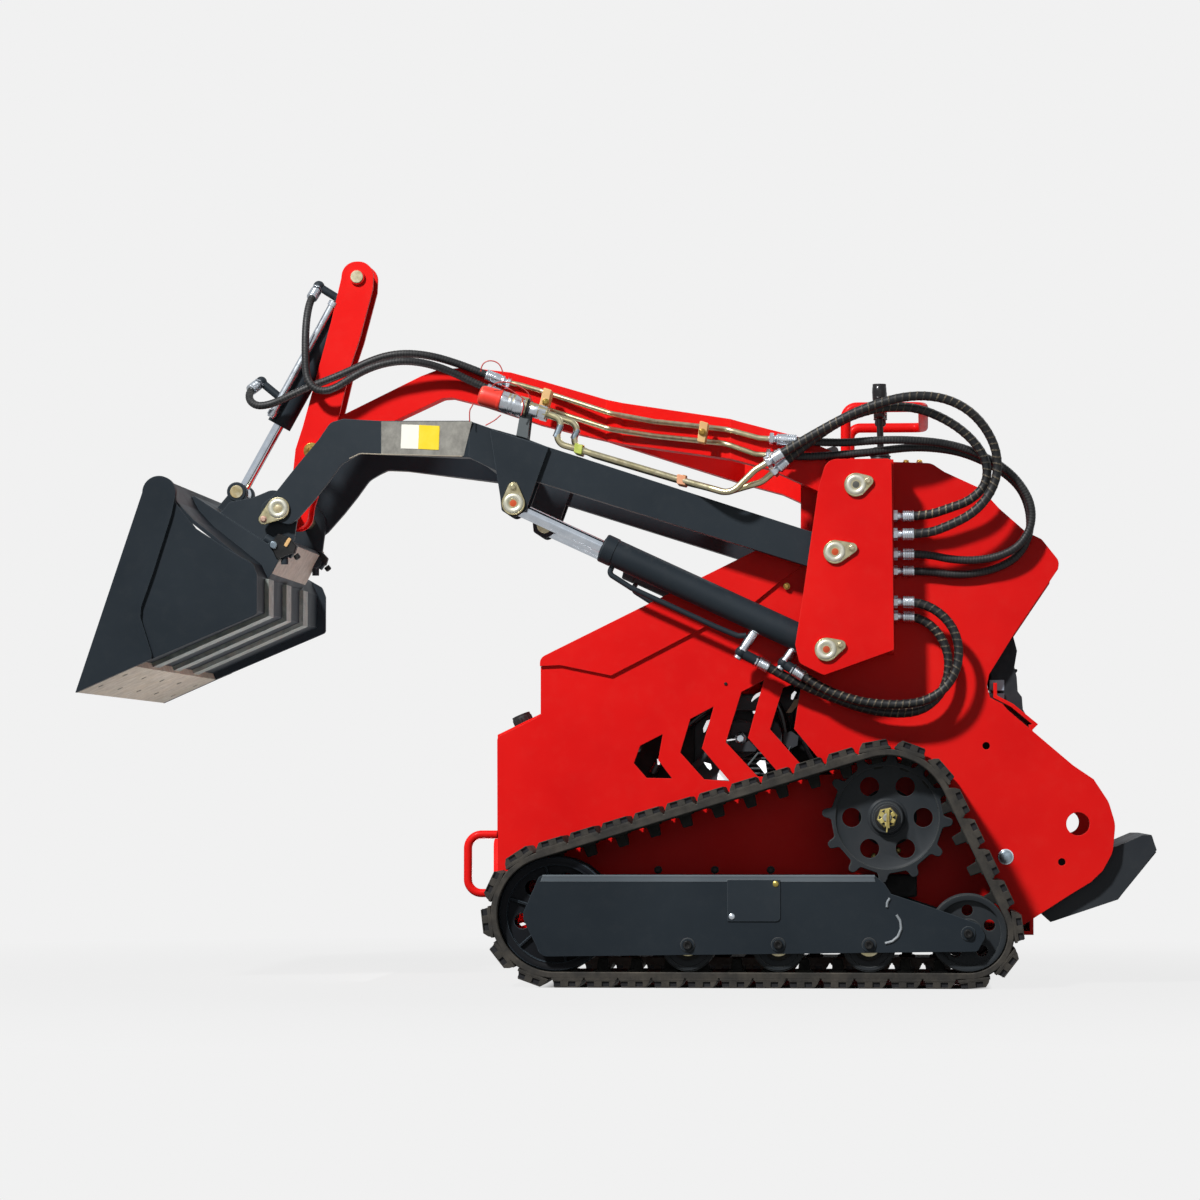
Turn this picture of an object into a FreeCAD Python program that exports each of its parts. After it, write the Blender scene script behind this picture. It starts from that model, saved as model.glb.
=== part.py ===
import FreeCAD, Part
import math
import os

# Stand-on mini track loader, millimetres, +Z up, front towards -X, left side at -Y.
# The origin is the middle of the footprint box, on the ground.

V = FreeCAD.Vector

# ---------------------------------------------------------------- driving sizes
SHIFT_X = 7.0            # moves the layout so that its box is centred on the origin
SIDE_OUT = 322.0         # outer face of the chassis side plates
SIDE_T = 10.0
ARM_IN, ARM_OUT = 345.0, 401.0     # boom arm tube, between its two faces
ARM_Y = 373.0
TOWER_IN, TOWER_OUT = 416.0, 428.0
TRACK_IN, TRACK_OUT = 338.0, 518.0
TRACK_MID = 428.0
FRONT_IN, FRONT_OUT = 230.0, 246.0  # front pieces of the boom arms
BUCKET_HALF = 530.0

BOOM_PIVOT = (462.0, 928.0)
LINK_PIVOT = (507.0, 1072.0)
LIFT_BASE = (443.0, 719.0)
LIFT_PIN = (-232.0, 1037.0)
LIFT_EYE = (-234.1, 1032.5)   # eye of the lift rod at rest, on its own lighter arc below the pin
FRONT_PIVOT = (-770.0, 1040.0)
LINK_FRONT = (-725.0, 1184.0)
TILT_TOP = (-623.5, 1577.5)
TILT_EYE = (-893.5, 1091.0)
FOLD_PIVOT = (903.0, 285.0)

BELT = 14.0              # belt thickness
TREAD = 19.0             # tread block height
IDLER = (-134.0, 155.0, 122.0)
SPROCKET = (572.0, 360.0, 131.5)
REAR_IDLER = (742.0, 116.0, 83.0)
ROLLERS_X = (149.0, 341.0, 533.0)
ROLLER_R = 57.0
TREAD_COUNT = 37
SPROCKET_TEETH = 12

LIFT_BARREL_R, LIFT_ROD_R = 30.0, 15.0
TILT_BARREL_R, TILT_ROD_R = 28.0, 12.0
HOSE_R = 10.5
PIN_FIT = 0.06           # radial clearance of every pin in a turning bore

os.makedirs("parts", exist_ok=True)
done = []


# ---------------------------------------------------------------- helpers
def outline(points, y=0.0):
    """A closed XZ outline; a point given as (x, z, r) is rounded with radius r."""
    n = len(points)
    ends, arcs = [], []
    for i, p in enumerate(points):
        b = V(p[0], y, p[1])
        if len(p) < 3 or not p[2]:
            ends.append((b, b))
            arcs.append(None)
            continue
        a, c = points[i - 1], points[(i + 1) % n]
        u = (V(a[0], y, a[1]) - b).normalize()
        w = (V(c[0], y, c[1]) - b).normalize()
        half = u.getAngle(w) / 2.0
        t = p[2] / math.tan(half)
        s, e = b + u * t, b + w * t
        m = b + (u + w).normalize() * (p[2] / math.sin(half) - p[2])
        ends.append((s, e))
        arcs.append(m)
    edges = []
    for i in range(n):
        if arcs[i] is not None:
            edges.append(Part.Arc(ends[i][0], arcs[i], ends[i][1]).toShape())
        q = ends[(i + 1) % n][0]
        if ends[i][1].distanceToPoint(q) > 1e-4:
            edges.append(Part.LineSegment(ends[i][1], q).toShape())
    return Part.Wire(edges)


def plate(points, y0, y1, holes=()):
    """A plate with an XZ outline between two Y planes; holes are (x, z, r)."""
    s = Part.Face(outline(points, y0)).extrude(V(0, y1 - y0, 0))
    for x, z, r in holes:
        s = s.cut(rod_y(x, z, r, min(y0, y1) - 1, max(y0, y1) + 1))
    return s


def rod_y(x, z, r, y0, y1):
    return Part.makeCylinder(r, abs(y1 - y0), V(x, min(y0, y1), z), V(0, 1, 0))


def ring_y(x, z, r, bore, y0, y1):
    return rod_y(x, z, r, y0, y1).cut(rod_y(x, z, bore, min(y0, y1) - 1, max(y0, y1) + 1))


def block(x0, x1, y0, y1, z0, z1):
    return Part.makeBox(x1 - x0, y1 - y0, z1 - z0, V(x0, y0, z0))


def rod(a, b, r):
    a, b = V(*a), V(*b)
    return Part.makeCylinder(r, (b - a).Length, a, b - a)


def other_side(s):
    return s.mirror(V(0, 0, 0), V(0, 1, 0))


def fuse(*shapes):
    s = shapes[0].multiFuse(list(shapes[1:])) if len(shapes) > 1 else shapes[0]
    return s.removeSplitter()


def hexahedron(a, b):
    """The solid between two quadrilaterals, each a list of four points."""
    fs = [Part.Face(Part.makePolygon(a + [a[0]])), Part.Face(Part.makePolygon(b + [b[0]]))]
    for i in range(4):
        j = (i + 1) % 4
        q = [a[i], a[j], b[j], b[i]]
        fs.append(Part.Face(Part.makePolygon(q + [q[0]])))
    s = Part.Solid(Part.Shell(fs))
    return s if s.Volume > 0 else Part.Solid(s.Shells[0].reversed())


def strip(points, t):
    """An XZ band of thickness t on the right-hand side of a line of points."""
    n = len(points)
    off = []
    for i in range(n):
        d = []
        if i > 0:
            d.append((points[i][0] - points[i - 1][0], points[i][1] - points[i - 1][1]))
        if i < n - 1:
            d.append((points[i + 1][0] - points[i][0], points[i + 1][1] - points[i][1]))
        ns = []
        for dx, dz in d:
            l = math.hypot(dx, dz)
            ns.append((dz / l, -dx / l))
        nx, nz = sum(k[0] for k in ns) / len(ns), sum(k[1] for k in ns) / len(ns)
        l2 = nx * nx + nz * nz
        off.append((points[i][0] + nx / l2 * t, points[i][1] + nz / l2 * t))
    return list(points) + off[::-1]


def smooth_path(points, radius=None, note=None):
    """Straight runs joined by tangent arcs. Without a radius each arc is as large as its runs allow."""
    P = [V(*p) for p in points]
    at, edges, radii = P[0], [], []
    for i in range(1, len(P) - 1):
        u, w = P[i] - P[i - 1], P[i + 1] - P[i]
        short = min(u.Length, w.Length)
        u.normalize()
        w.normalize()
        turn = u.getAngle(w)
        if radius is None:
            t = 0.45 * short
            r = t / math.tan(turn / 2)
        else:
            r = radius
            t = r * math.tan(turn / 2)
            if t > 0.48 * short:
                t = 0.48 * short
                r = t / math.tan(turn / 2)
        radii.append(r)
        a, b = P[i] - u * t, P[i] + w * t
        m = P[i] + (w - u).normalize() * (r / math.cos(turn / 2) - r)
        if at.distanceToPoint(a) > 1e-4:
            edges.append(Part.LineSegment(at, a).toShape())
        edges.append(Part.Arc(a, m, b).toShape())
        at = b
    edges.append(Part.LineSegment(at, P[-1]).toShape())
    if note:
        print("%s least radius %.0f mm, radii %s" % (note, min(radii), [round(k) for k in radii]))
    return Part.Wire(edges)


def tube(points, r, radius=None, note=None):
    path = smooth_path(points, radius, note)
    d = V(*points[1]) - V(*points[0])
    c = Part.Wire([Part.makeCircle(r, V(*points[0]), d)])
    s = path.makePipeShell([c], True, False)
    want = math.pi * r * r * path.Length
    if abs(s.Volume - want) > 0.01 * want or not s.isValid():
        print("CHECK tube", note, s.Volume / want, s.isValid())
    if note:
        print("%s length %.0f mm" % (note, path.Length))
    return s


def put(name, *solids):
    """Writes one node: its solids, moved into the part's own frame."""
    got = []
    for s in solids:
        got += s.Solids
    s = got[0] if len(got) == 1 else Part.makeCompound(got)
    s = s.copy()
    s.translate(V(SHIFT_X, 0, 0))
    for k in s.Solids:
        if not k.isValid() or k.Volume <= 0:
            print("CHECK", name, k.isValid(), k.Volume)
    s.exportStep("parts/%s.step" % name)
    done.append(name)


def put_pair(name, make):
    """Writes a left node (at -Y) and its mirror image on the right."""
    right = make if isinstance(make, list) else [make]
    put(name + "_left", *[other_side(s) for s in right])
    put(name + "_right", *right)


def hull_loop(circles, grow):
    """Points of the belt loop around circles given in order, as (start, mid, end) of each arc."""
    n, out = len(circles), []
    for i in range(n):
        (xa, za, ra), (xb, zb, rb) = circles[i], circles[(i + 1) % n]
        ra, rb = ra + grow, rb + grow
        dx, dz = xb - xa, zb - za
        l = math.hypot(dx, dz)
        base = math.atan2(dz, dx)
        k = math.acos((ra - rb) / l)
        out.append(base - k)      # the outward normal of the tangent run, loop anticlockwise
    arcs = []
    for i in range(n):
        x, z, r = circles[i]
        r += grow
        a0, a1 = out[i - 1], out[i]
        while a1 < a0:
            a1 += 2 * math.pi
        arcs.append((x, z, r, a0, a1))
    return arcs


def belt_wire(arcs, y):
    edges, n = [], len(arcs)

    def on(x, z, r, a):
        return V(x + r * math.cos(a), y, z + r * math.sin(a))

    for i in range(n):
        x, z, r, a0, a1 = arcs[i]
        edges.append(Part.Arc(on(x, z, r, a0), on(x, z, r, (a0 + a1) / 2), on(x, z, r, a1)).toShape())
        x2, z2, r2, b0, _ = arcs[(i + 1) % n]
        edges.append(Part.LineSegment(on(x, z, r, a1), on(x2, z2, r2, b0)).toShape())
    return Part.Wire(edges)


def stations(arcs, count):
    """Evenly spaced places along the loop, each as (x, z, outward angle)."""
    runs, n = [], len(arcs)
    for i in range(n):
        x, z, r, a0, a1 = arcs[i]
        runs.append(("arc", x, z, r, a0, a1, r * (a1 - a0)))
        x2, z2, r2, b0, _ = arcs[(i + 1) % n]
        p = (x + r * math.cos(a1), z + r * math.sin(a1))
        q = (x2 + r2 * math.cos(b0), z2 + r2 * math.sin(b0))
        runs.append(("line", p, q, a1, math.hypot(q[0] - p[0], q[1] - p[1])))
    total = sum(k[-1] for k in runs)
    out = []
    for i in range(count):
        s = (i + 0.5) * total / count
        for k in runs:
            if s <= k[-1]:
                break
            s -= k[-1]
        if k[0] == "arc":
            a = k[4] + s / k[3]
            out.append((k[1] + k[3] * math.cos(a), k[2] + k[3] * math.sin(a), a))
        else:
            f = s / k[4]
            out.append((k[1][0] + (k[2][0] - k[1][0]) * f, k[1][1] + (k[2][1] - k[1][1]) * f, k[3]))
    return out, total


# ---------------------------------------------------------------- hose routes, left side
H = {}
H["aux_hose_outer"] = [(330, -460, 1126), (374, -460, 1153), (419, -460, 1179), (464, -460, 1204), (510, -459, 1227), (559, -459, 1245), (609, -457, 1258),
    (660, -450, 1261), (709, -441, 1252), (753, -431, 1228), (787, -420, 1190), (808, -410, 1144), (810, -406, 1093), (790, -405, 1046),
    (754, -405, 1009), (708, -405, 986), (658, -404, 967), (607, -404, 967)]
H["aux_hose_inner"] = [(341, -436, 1109), (378, -436, 1141), (417, -435, 1171), (457, -435, 1199), (500, -434, 1221), (547, -432, 1235), (595, -426, 1241),
    (643, -416, 1236), (688, -408, 1219), (730, -401, 1194), (765, -393, 1161), (789, -386, 1119), (785, -383, 1072), (750, -382, 1039),
    (704, -382, 1023), (655, -381, 1007), (607, -381, 1007)]
H["link_hose_upper"] = [(338, -412.5, 1172), (388, -412, 1168), (439, -412, 1165), (490, -412.5, 1164), (540, -413, 1168), (590, -410, 1170), (639, -397, 1169),
    (687, -377, 1166), (735, -366, 1156), (782, -360, 1137), (826, -358, 1112), (861, -358, 1076), (884, -358, 1031), (882, -358, 981),
    (854, -358, 940), (808, -358, 919), (758, -358, 912), (707, -358, 915), (657, -358, 927), (607, -358, 927)]
H["link_hose_lower"] = [(331, -412.5, 1138), (383, -412, 1135), (434, -412.5, 1135), (486, -412, 1139), (535, -407, 1143), (584, -391, 1151), (632, -368, 1157),
    (682, -348, 1156), (732, -337, 1148), (780, -335, 1129), (825, -335, 1104), (862, -335, 1068), (880, -335, 1020), (880, -335, 969),
    (856, -335, 923), (812, -335, 897), (762, -335, 885), (710, -335, 883), (659, -335, 891), (607, -335, 891)]
H["lift_hose_inner"] = [(296, -373, 694), (331, -370, 675), (367, -366, 655), (404, -362, 638), (442, -361, 622), (482, -361, 606), (523, -361, 593),
    (565, -361, 585), (612, -361, 583), (650, -361, 592), (682, -361, 618), (701, -361, 656), (705, -361, 700), (693, -361, 741),
    (667, -361, 774), (632, -361, 792), (607, -361, 792)]
H["lift_hose_outer"] = [(374, -380, 675), (406, -386, 654), (441, -389, 634), (480, -390, 618), (522, -390, 607), (566, -390, 602), (614, -390, 602),
    (660, -390, 611), (699, -390, 638), (722, -390, 679), (727, -390, 725), (713, -390, 769), (681, -390, 803), (638, -390, 822),
    (607, -390, 822)]
H2 = {}
H2["tilt_hose_upper"] = [(-292, -38, 1339), (-328, -41, 1353), (-365, -44, 1368), (-401, -49, 1381), (-438, -57, 1392), (-476, -63, 1399), (-515, -67, 1401),
    (-554, -67, 1396), (-591, -67, 1384), (-627, -67, 1367), (-662, -66, 1352), (-698, -66, 1338), (-733, -66, 1325.5), (-768, -67, 1309),
    (-798, -68, 1295), (-824, -68, 1286), (-848, -63, 1285), (-865, -51, 1296), (-871, -36, 1312), (-867, -21, 1327), (-857, -8, 1337)]
H2["tilt_hose_lower"] = [(-292, -38, 1306), (-328, -43, 1323), (-365, -48, 1339), (-400, -56, 1356), (-436, -69, 1370), (-473, -80, 1379), (-513, -89, 1382),
    (-552, -91, 1377), (-591, -92, 1365), (-627, -92, 1346), (-650, -92, 1331), (-668, -91, 1321), (-687, -90, 1315), (-706, -91, 1317),
    (-721, -90, 1328), (-730, -87, 1344), (-734, -83, 1363), (-736, -79, 1400), (-737, -71, 1438), (-737, -60, 1473), (-735, -45, 1505),
    (-731, -28, 1530), (-722, -12, 1550)]


# ---------------------------------------------------------------- track, one side (+Y)
circles = [(IDLER[0], IDLER[1], IDLER[2]), (REAR_IDLER[0], REAR_IDLER[1], REAR_IDLER[2]), SPROCKET]
inner = hull_loop(circles, 0.0)
outer = hull_loop(circles, BELT)
belt = Part.Face(belt_wire(outer, TRACK_IN)).extrude(V(0, TRACK_OUT - TRACK_IN, 0)).cut(
    Part.Face(belt_wire(inner, TRACK_IN - 1)).extrude(V(0, TRACK_OUT - TRACK_IN + 2, 0)))
places, belt_length = stations(hull_loop(circles, BELT / 2), TREAD_COUNT)
print("belt length %.0f mm, pitch %.1f mm" % (belt_length, belt_length / TREAD_COUNT))
blocks = []
for x, z, a in places:
    n, t = (math.cos(a), math.sin(a)), (-math.sin(a), math.cos(a))
    h = BELT / 2

    def at(along, out):
        return (x + t[0] * along + n[0] * out, z + t[1] * along + n[1] * out)

    blocks.append(plate([at(-27, h - 3), at(27, h - 3), at(23, h + TREAD), at(-23, h + TREAD)], TRACK_IN, TRACK_OUT))
    blocks.append(plate([at(-11, -h + 3), at(11, -h + 3), at(8, -h - 17), at(-8, -h - 17)], TRACK_MID - 24, TRACK_MID + 24))
track = belt.multiFuse(blocks).cut(block(-900, 1300, 300, 600, -60, 0))
print("track lowest %.3f, solids %d" % (track.BoundBox.ZMin, len(track.Solids)))
put_pair("track", track)


def pair_wheel(x, z, r, hub, y0, y1, gap, bore):
    """Two rims with a smaller drum between them, on a bored hub."""
    m = (y0 + y1) / 2
    s = fuse(rod_y(x, z, r, y0, m - gap / 2), rod_y(x, z, r, m + gap / 2, y1), rod_y(x, z, hub, y0, y1))
    return s.cut(rod_y(x, z, bore, y0 - 1, y1 + 1))


# front idler: two thin rims on a drum, with pockets in its outer faces
fi = pair_wheel(IDLER[0], IDLER[1], IDLER[2] - 0.4, 100.0, 372, 484, 56, 18.0)
for y0, y1 in ((371, 384), (472, 485)):
    fi = fi.cut(ring_y(IDLER[0], IDLER[1], 104.0, 42.0, y0, y1))
for i in range(6):
    a = math.radians(12 + 60 * i)
    fi = fi.cut(rod_y(IDLER[0] + 74 * math.cos(a), IDLER[1] + 74 * math.sin(a), 17.0, 360, 500))
put("front_idlers", fi, other_side(fi))
ri = pair_wheel(REAR_IDLER[0], REAR_IDLER[1], REAR_IDLER[2] - 0.4, 60.0, 376, 480, 56, 15.0)
for y0, y1 in ((375, 388), (468, 481)):
    ri = ri.cut(ring_y(REAR_IDLER[0], REAR_IDLER[1], 70.0, 30.0, y0, y1))
for i in range(5):
    a = math.radians(20 + 72 * i)
    ri = ri.cut(rod_y(REAR_IDLER[0] + 48 * math.cos(a), REAR_IDLER[1] + 48 * math.sin(a), 12.0, 360, 500))
rollers = [ri]
for x in ROLLERS_X:
    rollers.append(pair_wheel(x, 33 + ROLLER_R + 0.4, ROLLER_R, 36.0, 374, 482, 56, 14.0))
put("track_rollers", *(rollers + [other_side(k) for k in rollers]))

# drive sprocket: toothed disc, lightening holes, raised rim and hub
x, z = SPROCKET[0], SPROCKET[1]
phase = None
best = min(places, key=lambda p: math.hypot(p[0] - x, p[1] - z) if p[2] > 0.5 else 1e9)
teeth = [rod_y(x, z, 112.0, 404, 452)]
lug = math.atan2(best[1] - z, best[0] - x)
for i in range(SPROCKET_TEETH):
    a = lug + (i + 0.5) * 2 * math.pi / SPROCKET_TEETH
    n, t = (math.cos(a), math.sin(a)), (-math.sin(a), math.cos(a))
    q = [(x + n[0] * o + t[0] * k, z + n[1] * o + t[1] * k) for o, k in ((104, -17), (104, 17), (129, 9), (129, -9))]
    teeth.append(plate(q, 404, 452))
sp = fuse(*teeth)
sp = sp.cut(ring_y(x, z, 101.0, 36.0, 444, 453))
sp = sp.cut(ring_y(x, z, 101.0, 60.0, 403, 412))
for i in range(6):
    a = math.radians(30 + 60 * i)
    sp = sp.cut(rod_y(x + 76 * math.cos(a), z + 76 * math.sin(a), 20.0, 400, 460))
sp = fuse(sp, rod_y(x, z, 34.0, 440, 462)).cut(rod_y(x, z, 18.0, 403, 464))
put("drive_sprockets", sp, other_side(sp))
motor = fuse(rod_y(x, z, 62.0, SIDE_OUT, 372), rod_y(x, z, 50.0, 370, 404),
                             rod_y(x, z, 17.8, 400, 478), rod_y(x, z, 21.0, 462.2, 472))
put("drive_motors", motor, other_side(motor))

# track frame: outer and inner plates with a folded top flange and the cross axles
FRAME = [(-162, 65, 20), (-204, 151, 30), (-167, 236, 8), (546, 237), (567, 220), (580, 199), (674, 168), (765, 136, 12),
         (779, 110, 14), (761, 78, 10)]
axles = [rod_y(IDLER[0], IDLER[1], 17.8, 345, 506), rod_y(REAR_IDLER[0], REAR_IDLER[1], 14.8, 345, 511)]
for x0 in ROLLERS_X:
    axles.append(rod_y(x0, 33 + ROLLER_R + 0.4, 13.8, 345, 511))
frame = fuse(plate(FRAME, 498, 508), plate(FRAME, 348, 358), block(-20, 520, 357, 499, 229, 237),
             block(560, 600, 357, 499, 152, 160), *axles)
brackets = [block(40, 120, SIDE_OUT, 349, 150, 230), block(400, 480, SIDE_OUT, 349, 150, 230)]
put_pair("track_frame", fuse(frame, *brackets))

# ---------------------------------------------------------------- chassis
SIDE = [(-275, 224, 10), (-276, 534, 12), (-198, 572, 20), (-181, 582, 6), (-181, 687), (-175.5, 687), (-175.5, 690), (-151, 704), (-78, 745), (297, 929),
        (385, 972), (386, 1118, 12), (588, 1129), (668, 1126, 30), (696, 1107), (775, 1070), (815, 1026, 20), (869, 978),
        (905, 960, 12), (943, 912, 22), (940, 895), (843, 752), (791, 668), (786, 643, 20), (793, 618), (820, 604),
        (831, 591), (970, 472), (1014, 442), (1046, 393, 60), (1060, 345, 60), (1054, 284, 60), (1032, 245), (1007, 221),
        (958, 191), (901, 154), (855, 124), (855, 107), (-150, 107, 30)]
C1 = [(85, 540), (36, 515), (22, 477), (50, 445), (105, 444), (75, 484)]
C2 = [(196, 600), (145, 573), (123, 500), (175, 442), (230, 438), (170, 509)]
C3 = [(305, 657), (256, 631), (222, 522), (291, 448), (345, 446), (270, 532)]
C4 = [(387, 655), (346, 640), (318, 550), (404, 452), (452, 452), (370, 551)]
EAR = (980.0, 346.0, 25.0)
side = plate(SIDE, SIDE_OUT - SIDE_T, SIDE_OUT, [EAR, (784, 514, 8), (945, 264, 8)])
for c in (C1, C2, C3, C4):
    side = side.cut(plate(c, SIDE_OUT - SIDE_T - 1, SIDE_OUT + 1))
put_pair("side_plate", side)

IN = SIDE_OUT - SIDE_T
belly_sheet = fuse(block(-250, 884, -IN, IN, 107, 115), block(876, 884, -IN, IN, 107, 560),
                        plate(strip([(876, 552), (884, 560), (838, 598), (800, 618), (800, 650)], 8), -IN, IN))
put("belly_plate", belly_sheet)
put("nose_cover", plate(strip([(-268, 116), (-268, 534), (-198, 568), (-173, 580), (-173, 686)][::-1], 8), -IN, IN))
hood_line = [(-182, 688), (-182, 706, 18), (-150, 722, 60), (300, 944, 60), (384, 985, 8), (384, 900), (338, 868), (286, 826),
             (196, 782), (-27, 667, 4), (-138, 690)]
hood_in = [(-176, 600), (-176, 703, 12), (-147, 716, 54), (302, 938, 54), (379, 978), (400, 978), (400, 600)]
hood = plate(hood_line, -(SIDE_OUT + 7), SIDE_OUT + 7).cut(plate(hood_in, -(SIDE_OUT + 1), SIDE_OUT + 1))
put("hood", hood)
console = fuse(
    plate(strip([(394, 700), (394, 1112), (408, 1121), (640, 1128), (668, 1118), (692, 1100), (772, 1063), (812, 1020), (866, 972),
                 (900, 952), (932, 908)], 6), -IN, IN),
    plate(strip([(932, 908), (935, 896), (838, 752), (786, 670)], 6), -IN, IN))
put("console_cover", console)
put("engine_block", block(-130, 360, -230, 230, 135, 590))
pad = plate([(843, 755, 10), (820, 756), (800, 700), (792, 690), (797, 650), (830, 612), (858, 566), (872, 561, 8),
                       (872, 579, 8), (864, 593), (862, 620, 8), (853, 632), (851, 663), (846, 685), (852, 720)], -285, 285)
pad = pad.cut(console).cut(belly_sheet)
put("rear_pad", max(pad.Solids, key=lambda k: k.Volume if k.BoundBox.XMax > 860 else 0))
cap = Part.makeCylinder(20.5, 36, V(-222, -200, 551), V(-0.39, 0, 0.92))
put("filler_cap", cap.cut(plate([(-400, 400), (-400, 479.1), (0, 673.5), (0, 400)], -260, -140)))

loop = tube([(-276, 317, 322), (-340, 317, 322), (-340, 317, 195), (-276, 317, 195)], 9, 30)
put("tie_down_loops", loop, other_side(loop))

# tower: outer plate, folded rear flange and foot, on both sides
TOWER = [(426, 1064), (444, 1128, 30), (583, 1128, 10), (587, 718), (437, 664, 14), (385, 690, 14), (376, 729), (391, 823)]
bores = [(BOOM_PIVOT[0], BOOM_PIVOT[1], 19.3), (LINK_PIVOT[0], LINK_PIVOT[1], 16.3), (LIFT_BASE[0], LIFT_BASE[1], 16.3)]
foot = plate(strip([(437, 664), (587, 718)][::-1], 10), SIDE_OUT, TOWER_IN + 1)
tower = fuse(plate(TOWER, TOWER_IN, TOWER_OUT, bores),
             block(577, 587, SIDE_OUT, TOWER_IN + 1, 712, 1127), foot)
put_pair("tower", tower)


def keeper_pin(p, r, y0, y1, bolt):
    """A pivot pin whose head is held by a flag and a bolt."""
    dx, dz = bolt[0] - p[0], bolt[1] - p[1]
    l = math.hypot(dx, dz)
    t = (-dz / l, dx / l)
    flag = plate([(p[0] + t[0] * 25, p[1] + t[1] * 25), (p[0] - t[0] * 25, p[1] - t[1] * 25),
                  (bolt[0] - t[0] * 11, bolt[1] - t[1] * 11), (bolt[0] + t[0] * 11, bolt[1] + t[1] * 11)], y1, y1 + 6)
    return fuse(rod_y(p[0], p[1], r, y0, y1 + 8), rod_y(p[0], p[1], 25, y1, y1 + 6), rod_y(bolt[0], bolt[1], 11, y1, y1 + 6), flag)


tower_pins = [keeper_pin(BOOM_PIVOT, 19, SIDE_OUT, TOWER_OUT, (498, 936)),
              keeper_pin(LINK_PIVOT, 16, SIDE_OUT, TOWER_OUT, (533, 1080)),
              keeper_pin(LIFT_BASE, 16, SIDE_OUT, TOWER_OUT, (473, 728))]
put("tower_pins", *(tower_pins + [other_side(k) for k in tower_pins]))

put("hand_rails", tube([(482, -260, 1124), (482, -260, 1254), (651, -260, 1254), (651, 260, 1254), (482, 260, 1254), (482, 260, 1124)], 11, 24))
stick = []
for y in (-100, 100):
    stick.append(fuse(Part.makeCone(30, 15, 52, V(556, y, 1127), V(0, 0, 1)), rod((556, y, 1170), (554, y, 1262), 6),
                      Part.makeCylinder(15, 62, V(554, y, 1258), V(0, 0, 1))))
stick.append(plate([(424, 1123.5), (424, 1176, 14), (462, 1190, 10), (462, 1124.5)], -60, 60))
put("control_levers", *stick)

# bulkhead fittings on the rear flange of each tower, one in line with each hose's end
def end_fitting(pts, length, r):
    a, b = V(*pts[-1]), V(*pts[-2])
    d = (a - b).normalize()
    return Part.makeCylinder(r, length, a, d)


fittings = []
for name in ("aux_hose_outer", "aux_hose_inner", "link_hose_upper", "link_hose_lower", "lift_hose_inner", "lift_hose_outer"):
    k = end_fitting(H[name], 32, 13).cut(block(500, 587, -450, -300, 700, 1100))
    fittings.append(k)
    if name.startswith("lift"):
        fittings.append(other_side(k))
put("hose_fittings", *fittings)

# ---------------------------------------------------------------- boom
MAIN = [(-330, 1139), (-268, 1108), (-177, 1084), (399, 901), (443, 887), (470, 887), (504, 910), (504, 946), (480, 967), (409, 974),
        (-161, 1161), (-215, 1182), (-282, 1201), (-330, 1218)]
main_arm = fuse(plate([(-330, 1139), (-268, 1108), (-177, 1084), (452, 884), (474, 967), (409, 974), (-161, 1161), (-215, 1182),
                       (-282, 1201), (-330, 1218)], ARM_IN, ARM_OUT), rod_y(BOOM_PIVOT[0], BOOM_PIVOT[1], 42, ARM_IN, ARM_OUT))
mid = hexahedron([V(-330, ARM_IN, 1139), V(-330, ARM_OUT, 1139), V(-330, ARM_OUT, 1218), V(-330, ARM_IN, 1218)],
                 [V(-543, FRONT_IN, 1158.6), V(-543, FRONT_OUT, 1158.6), V(-543, FRONT_OUT, 1233), V(-543, FRONT_IN, 1233)])
front_arm = plate([(-543, 1158.6), (-588, 1161.5, 30), (-631, 1137, 40), (-658, 1099.5), (-690, 1059.5), (-728, 1017, 8), (-745, 1004, 20), (-800, 1020, 26),
                   (-812, 1046, 17), (-783, 1067.5), (-732, 1131.5), (-681, 1192), (-655, 1230, 24), (-626, 1238), (-543, 1233)], FRONT_IN, FRONT_OUT)
BRACKET = [(-284, 1199), (-156, 1158), (-199, 1040), (-205, 1022, 8), (-232, 1005, 14), (-258, 1022, 8), (-261, 1052)]
arm = fuse(main_arm, mid, front_arm,
           plate(BRACKET, ARM_OUT, ARM_OUT + 10, [(LIFT_PIN[0], LIFT_PIN[1], 11.3)]),
           plate(BRACKET, ARM_IN - 10, ARM_IN, [(LIFT_PIN[0], LIFT_PIN[1], 11.3)]))
arm = arm.cut(rod_y(BOOM_PIVOT[0], BOOM_PIVOT[1], 19 + PIN_FIT, ARM_IN - 1, ARM_OUT + 1))
arm = arm.cut(rod_y(FRONT_PIVOT[0], FRONT_PIVOT[1], 16.3, FRONT_IN - 1, FRONT_OUT + 1))
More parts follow.
